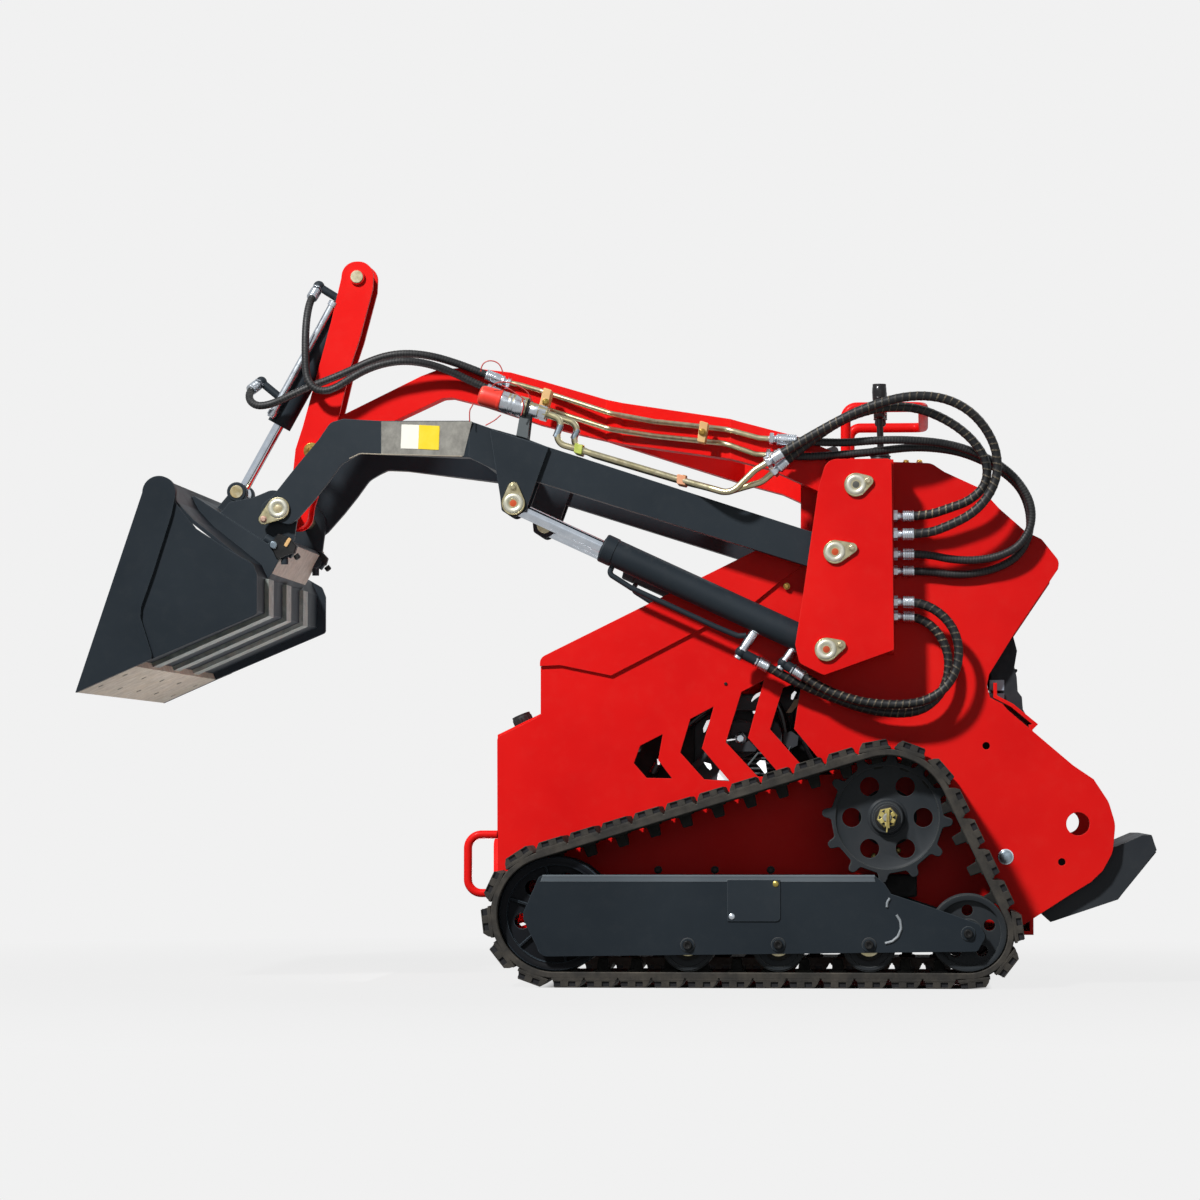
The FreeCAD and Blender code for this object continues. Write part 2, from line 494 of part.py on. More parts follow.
# relief between the lift brackets for the rod's eye at the lowest boom position
arm = arm.cut(rod_y(-222, 1068, 36, ARM_IN, ARM_OUT))
put_pair("boom_arm", arm)
cross = rod((-290, -ARM_IN, 1160), (-290, ARM_IN, 1160), 34).cut(arm).cut(other_side(arm))
cross = max(cross.Solids, key=lambda k: k.Volume)
put("boom_cross_tube", cross)
pins = []
for s in (-1, 1):
    y0, y1 = ARM_OUT + 10, ARM_OUT + 16
    stub_out = fuse(rod_y(LIFT_PIN[0], LIFT_PIN[1], 11, s * 395, s * (y1 + 2)), rod_y(LIFT_PIN[0], LIFT_PIN[1], 25, s * y0, s * y1),
                    rod_y(-232, 1072, 11, s * y0, s * y1),
                    plate([(-257, 1040), (-207, 1040), (-221, 1073), (-243, 1073)], s * y0, s * y1))
    stub_in = fuse(rod_y(LIFT_PIN[0], LIFT_PIN[1], 11, s * 333, s * 351), rod_y(LIFT_PIN[0], LIFT_PIN[1], 18, s * 331, s * 335))
    pins += [stub_out, stub_in]
fx, fz = FRONT_PIVOT
fa, fb = FRONT_OUT, FRONT_OUT + 6
flag = [(-786, 1059), (-754, 1021), (-795, 1007), (-809, 1024)]
front_pin = fuse(rod_y(fx, fz, 16, -fb - 2, fb + 2), *[fuse(rod_y(fx, fz, 24, k * fa, k * fb), rod_y(-802, 1016, 11, k * fa, k * fb), plate(flag, k * fa, k * fb))
                                                     for k in (-1, 1)])
put("boom_pins", front_pin, *pins)

# boom service pipes and couplers, left side
top = V(0.2987, 0, 0.9543)
pipes = []
for k, (y, name) in enumerate(((-358, "aux_hose_inner"), (-400, "aux_hose_outer"))):
    a, b = V(*H[name][0]), V(*H[name][1])
    d = (b - a).normalize()
    lead = [a - d * 46, a]
    n = -1 if k == 0 else 1
    bend = [(-92, y, 1212), (-112, y, 1169)] if k == 0 else [(-126, y, 1219), (-146, y, 1169.5)]
    pipes.append(tube([(-161, y, 1232)] + bend + [(-60 - 12 * k, y, 1144 + 4 * k), (128, y, 1087), (188 + 12 * k, a.y + 12, 1068 - 4 * k), (226 + 14 * k, a.y + 2, 1056 - 4 * k)]
                      + [(q.x, q.y, q.z) for q in lead], 7, 40))
bracket = [(-226, 1185.8), (-215, 1182.7), (-203, 1178.3), (-196, 1240), (-216, 1244)]
couplers = [fuse(rod((-161, y, 1232), (-206, y, 1247.6), 13.5), rod((-204, y, 1247), (-266, y, 1264), 20), rod((-266, y, 1264), (-303, y, 1274), 20.5),
                 plate(bracket, y - 4, y + 4))
            for y in (-358, -400)]
put("boom_pipes", *[fuse(p, c) for p, c in zip(pipes, couplers)])

# ---------------------------------------------------------------- level link
lx, lz = LINK_FRONT
link_front = plate([(-758, 1196, 12), (-752, 1218, 12), (-652, 1269), (-480, 1353), (-440, 1368, 40), (-374, 1372), (-276, 1360), (-208, 1341),
                    (-60, 1297), (-60, 1205), (-123, 1220), (-208, 1242), (-339, 1286), (-409, 1304), (-430, 1303, 20), (-560, 1243),
                    (-690, 1174, 10), (-706, 1150, 14), (-742, 1150, 14)], -28, 28)
link_front = link_front.cut(rod_y(lx, lz, 14 + PIN_FIT, -30, 30))
tail = hexahedron([V(-60, -28, 1205), V(-60, 28, 1205), V(-60, 28, 1297), V(-60, -28, 1297)],
                  [V(-20, -60, 1194), V(-20, 60, 1194), V(-20, 60, 1286), V(-20, -60, 1286)])
put("link_front", fuse(link_front, tail))
la = hexahedron([V(-20, 4, 1194), V(-20, 60, 1194), V(-20, 60, 1286), V(-20, 4, 1286)],
                [V(236, ARM_IN, 1132), V(236, ARM_OUT, 1132), V(236, ARM_OUT, 1218), V(236, ARM_IN, 1218)])
lb = plate([(236, 1132), (324, 1108), (470, 1040), (544, 1066), (544, 1094), (516, 1120), (384, 1178), (264, 1210), (236, 1218)], ARM_IN, ARM_OUT)
lb = fuse(la, lb, rod_y(LINK_PIVOT[0], LINK_PIVOT[1], 36, ARM_IN, ARM_OUT)).cut(
    rod_y(LINK_PIVOT[0], LINK_PIVOT[1], 16 + PIN_FIT, ARM_IN - 1, ARM_OUT + 1))
put_pair("link_arm", lb)
lp = []
for name, pts in (("link_hose_upper", [(-291, -38, 1338.8), (-252, -38, 1330), (-208, -38, 1317), (-45, -60, 1262), (60, -190, 1232), (231, -412.5, 1194)]),
                  ("link_hose_lower", [(-291, -38, 1305.7), (-192, -38, 1275), (-50, -56, 1228), (60, -190, 1200), (226, -412.5, 1164)])):
    a, b = V(*H[name][0]), V(*H[name][1])
    q = a - (b - a).normalize() * 40
    lp.append(tube(pts + [(q.x, q.y, q.z), (a.x, a.y, a.z)], 6, 30))
put("link_pipes", *lp)

# ---------------------------------------------------------------- lever
LEVER = [(-810, 1040, 36), (-770, 1000, 36), (-724, 1040, 30), (-665, 1261), (-637, 1379), (-618, 1436), (-592, 1560, 20), (-600, 1612, 26), (-652, 1616, 26), (-668, 1570),
         (-685, 1482), (-717, 1355), (-745, 1237), (-764, 1185), (-768, 1142)]
LEVER = [(-800, 1064, 20), (-806, 1010, 34), (-738, 1004, 34), (-730, 1062), (-665, 1261), (-637, 1379), (-618, 1436), (-588, 1550),
         (-585, 1613, 34), (-656, 1613, 34), (-660, 1575), (-683, 1476), (-716, 1352), (-746, 1241), (-763, 1188), (-770, 1120)]
lev = fuse(plate(LEVER, 33, 43), plate(LEVER, -43, -33), rod_y(fx, fz, 30, -34, 34))
lev = lev.cut(rod_y(fx, fz, 16 + PIN_FIT, -50, 50))
lever_pins = [fuse(rod_y(lx, lz, 14, -47, 47), rod_y(lx, lz, 18, -50, -43), rod_y(lx, lz, 18, 43, 50)),
    fuse(rod_y(TILT_TOP[0], TILT_TOP[1], 14, -47, 47), rod_y(TILT_TOP[0], TILT_TOP[1], 17, -50, -43), rod_y(TILT_TOP[0], TILT_TOP[1], 17, 43, 50))]
put("lever", fuse(lev, *lever_pins))


# ---------------------------------------------------------------- cylinders
def ram(base, eye, y, barrel_r, rod_r, barrel_len, eye_r, pin_base, pin_eye, half, gap):
    """A hydraulic cylinder in the XZ plane: barrel with its base eye, and rod with its end eye."""
    dx, dz = eye[0] - base[0], eye[1] - base[1]
    l = math.hypot(dx, dz)
    d = (dx / l, dz / l)

    def on(s):
        return (base[0] + d[0] * s, y, base[1] + d[1] * s)

    body = fuse(rod_y(base[0], base[1], barrel_r, y - half, y + half), rod(on(18), on(60), barrel_r * 0.72), rod(on(46), on(barrel_len), barrel_r))
    body = body.cut(rod(on(66), on(barrel_len - 40), barrel_r - 5)).cut(rod(on(barrel_len - 41), on(barrel_len + 1), rod_r + 0.05))
    body = body.cut(rod_y(base[0], base[1], pin_base + PIN_FIT, y - half - 1, y + half + 1))
    start = barrel_len - 100 - gap
    stem = fuse(rod(on(start), on(l - eye_r * 0.6), rod_r), rod_y(eye[0], eye[1], eye_r, y - half, y + half))
    stem = stem.cut(rod_y(eye[0], eye[1], pin_eye, y - half - 1, y + half + 1))
    return body, stem


lift = ram(LIFT_BASE, LIFT_EYE, ARM_Y, LIFT_BARREL_R, LIFT_ROD_R, 533, 20, 16, 11.5, 20, 120)
cx, cz = LIFT_BASE
lift_l = math.hypot(LIFT_EYE[0] - cx, LIFT_EYE[1] - cz)
u = ((LIFT_EYE[0] - cx) / lift_l, (LIFT_EYE[1] - cz) / lift_l)
w = (-u[1], u[0])
if w[1] > 0:
    w = (-w[0], -w[1])


def by(s, o, y=ARM_Y):
    return (cx + u[0] * s + w[0] * o, y, cz + u[1] * s + w[1] * o)




def elbow(pts, ball, r):
    """A ball with a stem along the first run of a hose, up to the hose's end."""
    return fuse(Part.makeSphere(r + 2, V(*ball)), rod(ball, pts[0], r))


def before(pts, d):
    a, b = V(*pts[0]), V(*pts[1])
    k = a - (b - a).normalize() * d
    return (k.x, -k.y, k.z)


flip_in = [(x, -y, z) for x, y, z in H["lift_hose_inner"]]
flip_out = [(x, -y, z) for x, y, z in H["lift_hose_outer"]]
ball_in, ball_out = before(H["lift_hose_inner"], 44), before(H["lift_hose_outer"], 30)
ports = [rod(by(158, 24), ball_in, 9), elbow(flip_in, ball_in, 11), rod(by(66, 24), ball_out, 9), elbow(flip_out, ball_out, 11)]
line = tube([by(498, 27), by(498, 46), by(440, 54), by(240, 54), by(188, 52), by(172, 44)], 6, 12)
put_pair("lift_barrel", fuse(lift[0], *(ports + [line])))
put_pair("lift_rod", lift[1])
tilt = ram(TILT_TOP, TILT_EYE, 0.0, TILT_BARREL_R, TILT_ROD_R, 379, 20, 14, 13, 20, 60)
tx, tz = TILT_TOP
tilt_l = math.hypot(TILT_EYE[0] - tx, TILT_EYE[1] - tz)
tu = ((TILT_EYE[0] - tx) / tilt_l, (TILT_EYE[1] - tz) / tilt_l)
tw = (tu[1], -tu[0])
if tw[0] > 0:
    tw = (-tw[0], -tw[1])


def tby(s, o, y=0.0):
    return (tx + tu[0] * s + tw[0] * o, y, tz + tu[1] * s + tw[1] * o)




def past(pts, d):
    a, b = V(*pts[-1]), V(*pts[-2])
    k = a + (a - b).normalize() * d
    return (k.x, k.y, k.z)


high_ball, low_ball = past(H2["tilt_hose_lower"], 16), past(H2["tilt_hose_upper"], 16)
tilt_line = [tube([(tby(350, 10)[0], -20, tby(350, 10)[2]), (tby(350, 20)[0], -37, tby(350, 20)[2]), (tby(100, 20)[0], -37, tby(100, 20)[2]),
                   (tby(100, 10)[0], -20, tby(100, 10)[2])], 7, 12)]
put("tilt_barrel", fuse(tilt[0], rod(tby(62, 20), high_ball, 9), rod(tby(324, 20), low_ball, 9),
    Part.makeSphere(13, V(*high_ball)), rod(high_ball, H2["tilt_hose_lower"][-1], 11),
    Part.makeSphere(13, V(*low_ball)), rod(low_ball, H2["tilt_hose_upper"][-1], 11), *tilt_line))
put("tilt_rod", tilt[1])

# ---------------------------------------------------------------- attachment plate and bucket
# wedge on the back of the bucket, pin ears beside the boom arms, a clevis for the tilt rod and two latch pins
WEDGE = [(-963, 1067.5), (-957, 1068.5), (-897, 1029.5), (-794, 962.5), (-753, 973), (-747, 966), (-785, 894), (-792.6, 884.8), (-805.6, 914.4),
         (-861.7, 959.5), (-913.6, 1000.4), (-947.5, 1037.4)]
EARS = [(-905, 1034), (-899, 1036, 8), (-884, 1056, 10), (-865, 1060, 20), (-830, 1066.5, 60), (-790, 1083, 30), (-750, 1078, 36), (-731, 1050, 30),
        (-732, 1016), (-736, 988), (-738, 970, 4), (-753, 972), (-794, 962)]
CLEVIS = [(-938, 1054), (-913.8, 1083), (-893.5, 1101), (-872.6, 1084), (-862, 1008)]
qa = plate(WEDGE, -250, 250)
for s in (-1, 1):
    qa = fuse(qa, plate(EARS, s * 212, s * 224)).cut(rod_y(fx, fz, 16 + PIN_FIT, s * 211, s * 225))
    c = fuse(plate(CLEVIS, s * 52, s * 64), rod_y(TILT_EYE[0], TILT_EYE[1], 22, s * 46, s * 64), rod_y(TILT_EYE[0], TILT_EYE[1], 12.5, s * 25, s * 52))
    qa = fuse(qa, c, rod((-800, s * 238, 976), (-738, s * 238, 938), 10), rod_y(-757, 949, 15, s * 226, s * 250), rod((-757, s * 238, 949), (-757, s * 238, 917), 8))
put("quick_attach", qa)

# outer line of the shell, set back from the side plates along the floor and the heel
FLOOR = [(-1115.6, 666.3), (-1043.5, 698.1), (-793, 807), (-793, 884), (-806, 914), (-862, 959), (-914, 1000), (-948, 1037), (-972, 1084)]
shell = plate(strip(FLOOR[::-1], 8), -BUCKET_HALF + 18, BUCKET_HALF - 18)
put("bucket_shell", shell)
SIDEB = [(-1019, 1063), (-1164, 627.5), (-1037, 683.5), (-797, 784.3), (-773, 794.5, 9), (-773, 880), (-782, 903, 12), (-838, 935), (-906, 979), (-950, 1035), (-950, 1057)]
CUTTER = [(-1019, 1063), (-1164, 627.5), (-1037, 683.5), (-1001, 698.6), (-997.5, 706, 20), (-1024, 789, 20), (-1022, 812, 30), (-998, 880), (-958, 1007), (-949.4, 1048)]
corner = (-985.2, 1056.5, 36.0)
bucket_side = fuse(plate(SIDEB, BUCKET_HALF - 18, BUCKET_HALF - 8), rod_y(*corner, BUCKET_HALF - 18, BUCKET_HALF - 8),
                   plate(CUTTER, BUCKET_HALF - 8, BUCKET_HALF), rod_y(*corner, BUCKET_HALF - 8, BUCKET_HALF))
put("bucket_sides", bucket_side, other_side(bucket_side))
edge = plate([(-1163, 627.9), (-1037, 683.5), (-1043.4, 698), (-1143, 654)], -BUCKET_HALF + 18.2, BUCKET_HALF - 18.2)
put("cutting_edge", edge)
straps = []
for y in (-257, 0, 257):
    straps.append(plate(strip([(-1043.4, 697.9), (-792.8, 806.85), (-792.8, 882)], 9.5), y - 35, y + 35).cut(edge))
put("wear_straps", *straps)

# ---------------------------------------------------------------- platform
px, pz = FOLD_PIVOT
PLAT = [(899, 158, 8), (921, 134, 10), (1066, 183), (1149, 289), (1139, 322, 6), (1120, 322, 6), (1062, 297), (912, 297), (912, 250), (899, 240)]
ribs = [plate(PLAT, s * 286, s * 294) for s in (-1, 1)]
deck = plate(strip([(912, 297), (1062, 297), (1120, 322), (1139, 322), (1150, 289)], 6), -286, 286)
belly = plate(strip([(1149, 285), (1066, 183), (921, 134), (903, 150)], 6), -286, 286)
knuckles = [ring_y(px, pz, 15, 8 + PIN_FIT, s * 200, s * 260) for s in (-1, 1)]
tie = [block(px + 6, 914, *sorted((s * 200, s * 260)), pz - 6, pz + 10) for s in (-1, 1)]
tie = [t.cut(rod_y(px, pz, 10, -270, 270)) for t in tie]
put("platform", fuse(deck, belly, *(ribs + knuckles + tie)))
put("platform_hinge", rod_y(px, pz, 8, -IN, IN))


# ---------------------------------------------------------------- hoses
for name, pts in H.items():
    s = tube(pts, HOSE_R, note=name)
    if name.startswith("lift"):
        put(name + "_left", s)
        put(name + "_right", other_side(s))
    else:
        put(name, s)
for name, pts in H2.items():
    put(name, tube(pts, HOSE_R, note=name))
print(len(done), "nodes")
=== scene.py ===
import math

import bmesh
import bpy
import numpy as np
from mathutils import Matrix, Vector, noise


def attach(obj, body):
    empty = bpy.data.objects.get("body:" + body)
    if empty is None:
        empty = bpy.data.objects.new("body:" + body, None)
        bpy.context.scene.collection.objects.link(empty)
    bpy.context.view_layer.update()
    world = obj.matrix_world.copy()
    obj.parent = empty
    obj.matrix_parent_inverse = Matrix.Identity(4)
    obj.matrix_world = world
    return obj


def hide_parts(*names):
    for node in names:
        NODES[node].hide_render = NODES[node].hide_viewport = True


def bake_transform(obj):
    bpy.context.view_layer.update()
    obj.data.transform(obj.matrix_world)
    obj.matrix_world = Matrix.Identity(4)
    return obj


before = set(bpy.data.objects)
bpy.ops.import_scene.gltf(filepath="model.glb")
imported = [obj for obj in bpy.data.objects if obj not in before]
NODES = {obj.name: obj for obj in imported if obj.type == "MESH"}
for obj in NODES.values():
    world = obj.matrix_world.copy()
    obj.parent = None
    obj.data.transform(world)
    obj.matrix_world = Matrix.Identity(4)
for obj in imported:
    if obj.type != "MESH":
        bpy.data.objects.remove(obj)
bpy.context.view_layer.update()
scene = bpy.context.scene


def R(x, y, z):
    """Layout millimetres (the CAD source's numbers) to the row frame in metres."""
    return Vector(((x + 7.0) / 1000.0, y / 1000.0, z / 1000.0))


# ------------------------------------------------------------------ camera
PHI = math.atan(195.0 / 4200.0)
PSI = math.atan(325.0 * math.cos(PHI) / 4200.0)
right = Vector((math.cos(PSI), math.sin(PSI), 0))
look = Vector((-math.sin(PSI) * math.cos(PHI), math.cos(PSI) * math.cos(PHI), math.sin(PHI)))
up = Vector((math.sin(PSI) * math.sin(PHI), -math.cos(PSI) * math.sin(PHI), math.cos(PHI)))
cam_data = bpy.data.cameras.new("camera")
cam_data.lens, cam_data.sensor_width = 126.0, 36.0
cam_data.clip_start, cam_data.clip_end = 0.1, 400.0
cam = bpy.data.objects.new("camera", cam_data)
m = Matrix((right, up, -look)).transposed().to_4x4()
m.translation = Vector((0.659, -9.423, 0.408))
cam.matrix_world = m
scene.collection.objects.link(cam)
scene.camera = cam


# ------------------------------------------------------------------ material helpers
def new_material(name):
    mat = bpy.data.materials.new(name)
    mat.use_nodes = True
    nt = mat.node_tree
    nt.nodes.clear()
    out = nt.nodes.new("ShaderNodeOutputMaterial")
    sh = nt.nodes.new("ShaderNodeBsdfPrincipled")
    nt.links.new(sh.outputs[0], out.inputs[0])
    return mat, nt, sh


def lin(r, g, b):
    """8-bit sRGB to linear."""
    def f(v):
        v /= 255.0
        return v / 12.92 if v <= 0.04045 else ((v + 0.055) / 1.055) ** 2.4
    return (f(r), f(g), f(b), 1.0)


class Net:
    """Short calls for building a node tree."""

    def __init__(self, nt):
        self.nt = nt
        tc = nt.nodes.new("ShaderNodeTexCoord")
        self.obj = tc.outputs["Object"]

    def node(self, kind, **props):
        n = self.nt.nodes.new(kind)
        for k, v in props.items():
            setattr(n, k, v)
        return n

    def link(self, a, b):
        self.nt.links.new(a, b)

    def mapping(self, scale=(1, 1, 1), rot=(0, 0, 0), loc=(0, 0, 0), vec=None):
        n = self.node("ShaderNodeMapping")
        n.inputs["Scale"].default_value = scale
        n.inputs["Rotation"].default_value = rot
        n.inputs["Location"].default_value = loc
        self.link(vec or self.obj, n.inputs["Vector"])
        return n.outputs[0]

    def noise(self, scale, detail=3.0, rough=0.5, vec=None, distortion=0.0):
        n = self.node("ShaderNodeTexNoise")
        n.inputs["Scale"].default_value = scale
        n.inputs["Detail"].default_value = detail
        n.inputs["Roughness"].default_value = rough
        n.inputs["Distortion"].default_value = distortion
        self.link(vec or self.obj, n.inputs["Vector"])
        return n.outputs["Fac"]

    def voronoi(self, scale, vec=None, feature="F1"):
        n = self.node("ShaderNodeTexVoronoi", feature=feature)
        n.inputs["Scale"].default_value = scale
        self.link(vec or self.obj, n.inputs["Vector"])
        return n.outputs["Distance"]

    def ramp(self, fac, stops):
        n = self.node("ShaderNodeValToRGB")
        el = n.color_ramp.elements
        while len(el) < len(stops):
            el.new(0.5)
        for e, (p, c) in zip(el, stops):
            e.position = p
            e.color = c if len(c) == 4 else (*c, 1.0)
        self.link(fac, n.inputs["Fac"])
        return n.outputs["Color"]

    def grey(self, fac, a, b, lo=0.0, hi=1.0):
        """Maps fac from [a, b] to [lo, hi], clamped."""
        n = self.node("ShaderNodeMapRange")
        n.clamp = True
        for k, v in zip(("From Min", "From Max", "To Min", "To Max"), (a, b, lo, hi)):
            n.inputs[k].default_value = v
        self.link(fac, n.inputs["Value"])
        return n.outputs["Result"]

    def mix(self, fac, a, b, blend="MIX"):
        n = self.node("ShaderNodeMix", data_type="RGBA", blend_type=blend)
        for sock, v in ((n.inputs[0], fac), (n.inputs[6], a), (n.inputs[7], b)):
            if isinstance(v, (tuple, list)):
                sock.default_value = v if len(v) == 4 else (*v, 1.0)
            elif isinstance(v, (int, float)):
                sock.default_value = v
            else:
                self.link(v, sock)
        return n.outputs[2]

    def math(self, op, a, b=None):
        n = self.node("ShaderNodeMath", operation=op)
        for sock, v in zip(n.inputs, (a, b)):
            if v is None:
                continue
            if isinstance(v, (int, float)):
                sock.default_value = v
            else:
                self.link(v, sock)
        return n.outputs[0]

    def bump(self, height, strength, distance, normal=None):
        n = self.node("ShaderNodeBump")
        n.inputs["Strength"].default_value = strength
        n.inputs["Distance"].default_value = distance
        self.link(height, n.inputs["Height"])
        if normal is not None:
            self.link(normal, n.inputs["Normal"])
        return n.outputs[0]

    def bevel(self, radius, samples=4):
        n = self.node("ShaderNodeBevel", samples=samples)
        n.inputs["Radius"].default_value = radius
        return n.outputs[0]

    def edge(self, radius, samples=4):
        """1 along the part's edges, 0 on its faces."""
        g = self.node("ShaderNodeNewGeometry")
        d = self.node("ShaderNodeVectorMath", operation="DOT_PRODUCT")
        self.link(self.bevel(radius, samples), d.inputs[0])
        self.link(g.outputs["Normal"], d.inputs[1])
        return self.grey(d.outputs["Value"], 0.995, 0.90, 0.0, 1.0)

    def upward(self):
        g = self.node("ShaderNodeNewGeometry")
        s = self.node("ShaderNodeSeparateXYZ")
        self.link(g.outputs["Normal"], s.inputs[0])
        return s.outputs["Z"]

    def height(self):
        s = self.node("ShaderNodeSeparateXYZ")
        self.link(self.obj, s.inputs[0])
        return s.outputs["Z"]


def put_in(sh, **kw):
    names = {"rough": "Roughness", "metal": "Metallic", "coat": "Coat Weight", "coat_rough": "Coat Roughness",
             "spec": "Specular IOR Level", "sheen": "Sheen Weight", "aniso": "Anisotropic", "ior": "IOR"}
    for k, v in kw.items():
        sh.inputs[names[k]].default_value = v


def paint(name, base, dark, light, rough=0.36, coat=0.25, dust=None, edge=None, peel=0.06, bevel=0.0018, spec=0.2):
    """Powder coat: slow colour drift, orange peel, fine dust on top faces and a paler edge line."""
    mat, nt, sh = new_material(name)
    n = Net(nt)
    big = n.noise(2.6, 4.0, 0.55)
    col = n.ramp(n.grey(big, 0.32, 0.68), [(0.0, dark), (0.5, base), (1.0, light)])
    if dust:
        speck = n.grey(n.noise(36.0, 6.0, 0.7), 0.50, 0.72, 0.0, 0.16)
        top = n.grey(n.upward(), 0.25, 0.95, 0.15, 1.0)
        col = n.mix(n.math("MULTIPLY", speck, top), col, dust)
    if edge:
        col = n.mix(n.math("MULTIPLY", n.edge(0.0022), 0.55), col, edge)
    n.link(col, sh.inputs["Base Color"])
    r = n.grey(n.noise(9.0, 5.0, 0.6), 0.35, 0.65, rough - 0.05, rough + 0.08)
    n.link(r, sh.inputs["Roughness"])
    put_in(sh, coat=coat, coat_rough=0.16, spec=spec)
    h = n.noise(620.0, 2.0, 0.5)
    slow = n.noise(16.0, 2.0, 0.5)
    b = n.bump(slow, 0.10, 0.002, n.bevel(bevel))
    n.link(n.bump(h, peel, 0.0006, b), sh.inputs["Normal"])
    return mat


def metal(name, base, dark, rough=0.3, metallic=1.0, brush=None, tint=None, stain=0.25, bevel=0.0008):
    """Plated or polished steel with stains; brush is a mapping scale that stretches the scratches."""
    mat, nt, sh = new_material(name)
    n = Net(nt)
    col = n.ramp(n.grey(n.noise(42.0, 5.0, 0.65), 0.35, 0.68), [(0.0, dark), (1.0, base)])
    if tint:
        col = n.mix(n.grey(n.noise(24.0, 3.0, 0.6, distortion=0.6), 0.45, 0.65, 0.0, 0.6), col, tint)
    n.link(col, sh.inputs["Base Color"])
    vec = n.mapping(brush) if brush else None
    fine = n.noise(90.0, 4.0, 0.6, vec=vec)
    n.link(n.grey(fine, 0.3, 0.7, rough - 0.08, rough + stain * 0.4), sh.inputs["Roughness"])
    put_in(sh, metal=metallic)
    n.link(n.bump(fine, 0.04, 0.0003, n.bevel(bevel)), sh.inputs["Normal"])
    return mat


def rubber(name, base, dusty, rough=0.75, dust=0.5, grain=400.0, strength=0.18):
    mat, nt, sh = new_material(name)
    n = Net(nt)
    mask = n.grey(n.noise(20.0, 6.0, 0.68), 0.42, 0.70, 0.0, dust)
    up_mask = n.grey(n.upward(), -0.2, 0.9, 0.35, 1.0)
    col = n.mix(n.math("MULTIPLY", mask, up_mask), base, dusty)
    n.link(col, sh.inputs["Base Color"])
    n.link(n.grey(n.noise(60.0, 4.0, 0.6), 0.3, 0.7, rough - 0.08, rough + 0.1), sh.inputs["Roughness"])
    put_in(sh, spec=0.35)
    n.link(n.bump(n.noise(grain, 3.0, 0.6), strength, 0.0008, n.bevel(0.0015)), sh.inputs["Normal"])
    return mat


def plastic(name, base, rough=0.5, grain=900.0, strength=0.1, spec=0.4, light=None):
    mat, nt, sh = new_material(name)
    n = Net(nt)
    light = light or tuple(min(1.0, c * 1.5 + 0.01) for c in base[:3]) + (1.0,)
    n.link(n.mix(n.grey(n.noise(30.0, 4.0, 0.6), 0.4, 0.7, 0.0, 0.7), base, light), sh.inputs["Base Color"])
    n.link(n.grey(n.noise(55.0, 3.0, 0.5), 0.3, 0.7, rough - 0.06, rough + 0.08), sh.inputs["Roughness"])
    put_in(sh, spec=spec)
    n.link(n.bump(n.noise(grain, 2.0, 0.5), strength, 0.0005, n.bevel(0.001)), sh.inputs["Normal"])
    return mat


M = {}
M["red"] = paint("red_paint", lin(222, 22, 20), lin(212, 16, 16), lin(228, 28, 24), rough=0.42, coat=0.05,
                 dust=lin(214, 120, 100), edge=lin(236, 70, 60), spec=0.08)
M["dark"] = paint("dark_paint", lin(36, 43, 49), lin(31, 38, 44), lin(41, 48, 54), rough=0.46, coat=0.0,
                  dust=lin(110, 108, 104), edge=lin(84, 92, 98), spec=0.16)
M["dark3"] = paint("dark_frame", lin(32, 39, 45), lin(27, 34, 40), lin(37, 44, 50), rough=0.48, coat=0.0,
                   dust=lin(104, 102, 98), edge=lin(78, 86, 92), spec=0.13)
M["dark2"] = paint("dark_cast", lin(38, 43, 47), lin(28, 32, 36), lin(50, 53, 56), rough=0.5, coat=0.0,
                   dust=lin(120, 110, 96), edge=lin(104, 106, 104), peel=0.2, spec=0.16)
M["platform"] = paint("platform_paint", lin(40, 44, 49), lin(34, 38, 43), lin(48, 52, 56), rough=0.5, coat=0.0,
                      dust=lin(120, 118, 110), edge=lin(110, 112, 112), spec=0.16)
M["zinc"] = metal("zinc_yellow", lin(206, 198, 168), lin(168, 158, 126), rough=0.34, tint=lin(196, 186, 140))
M["silver"] = metal("zinc_silver", lin(222, 228, 234), lin(196, 202, 210), rough=0.3, stain=0.12)
M["ubend"] = metal("zinc_blue", lin(176, 190, 200), lin(126, 140, 150), rough=0.3)
M["nut"] = metal("nut_zinc", lin(216, 200, 128), lin(170, 150, 84), rough=0.36, metallic=0.6, tint=lin(200, 190, 120))
M["bar"] = paint("bar_grey", lin(92, 98, 100), lin(80, 86, 88), lin(106, 110, 112), rough=0.45, coat=0.0, spec=0.25)
# Idler paint is near-black to paint the shadow the track casts inside it; its pale bluish edge line paints the lit top
# of the rim.
M["idler"] = paint("idler_painted_shadow", lin(18, 21, 26), lin(13, 15, 19), lin(26, 29, 34), rough=0.55, coat=0.0,
                   dust=lin(90, 86, 78), edge=lin(96, 112, 124), peel=0.2, spec=0.12)
M["beige"] = plastic("hose_clip_beige", lin(150, 136, 112), rough=0.5, light=lin(176, 160, 134))
M["engine2"] = paint("engine_dark", lin(60, 62, 66), lin(46, 48, 52), lin(74, 76, 80), rough=0.5, coat=0.0, spec=0.2)
M["brass"] = metal("zinc_brass", lin(200, 160, 84), lin(132, 100, 48), rough=0.34, tint=lin(176, 170, 90))
M["chrome"] = metal("hard_chrome", lin(232, 238, 246), lin(212, 220, 230), rough=0.16, stain=0.1, brush=(1, 1, 1))
# Pale steel greys for the cutting edge, wear straps and mount plate: partly bare worn steel, partly a painted
# reflection of the bright ground on their undersides.
M["steel"] = metal("worn_steel", lin(204, 196, 182), lin(164, 154, 138), rough=0.5, metallic=0.25,
                   brush=(3, 1, 3), tint=lin(190, 176, 152))
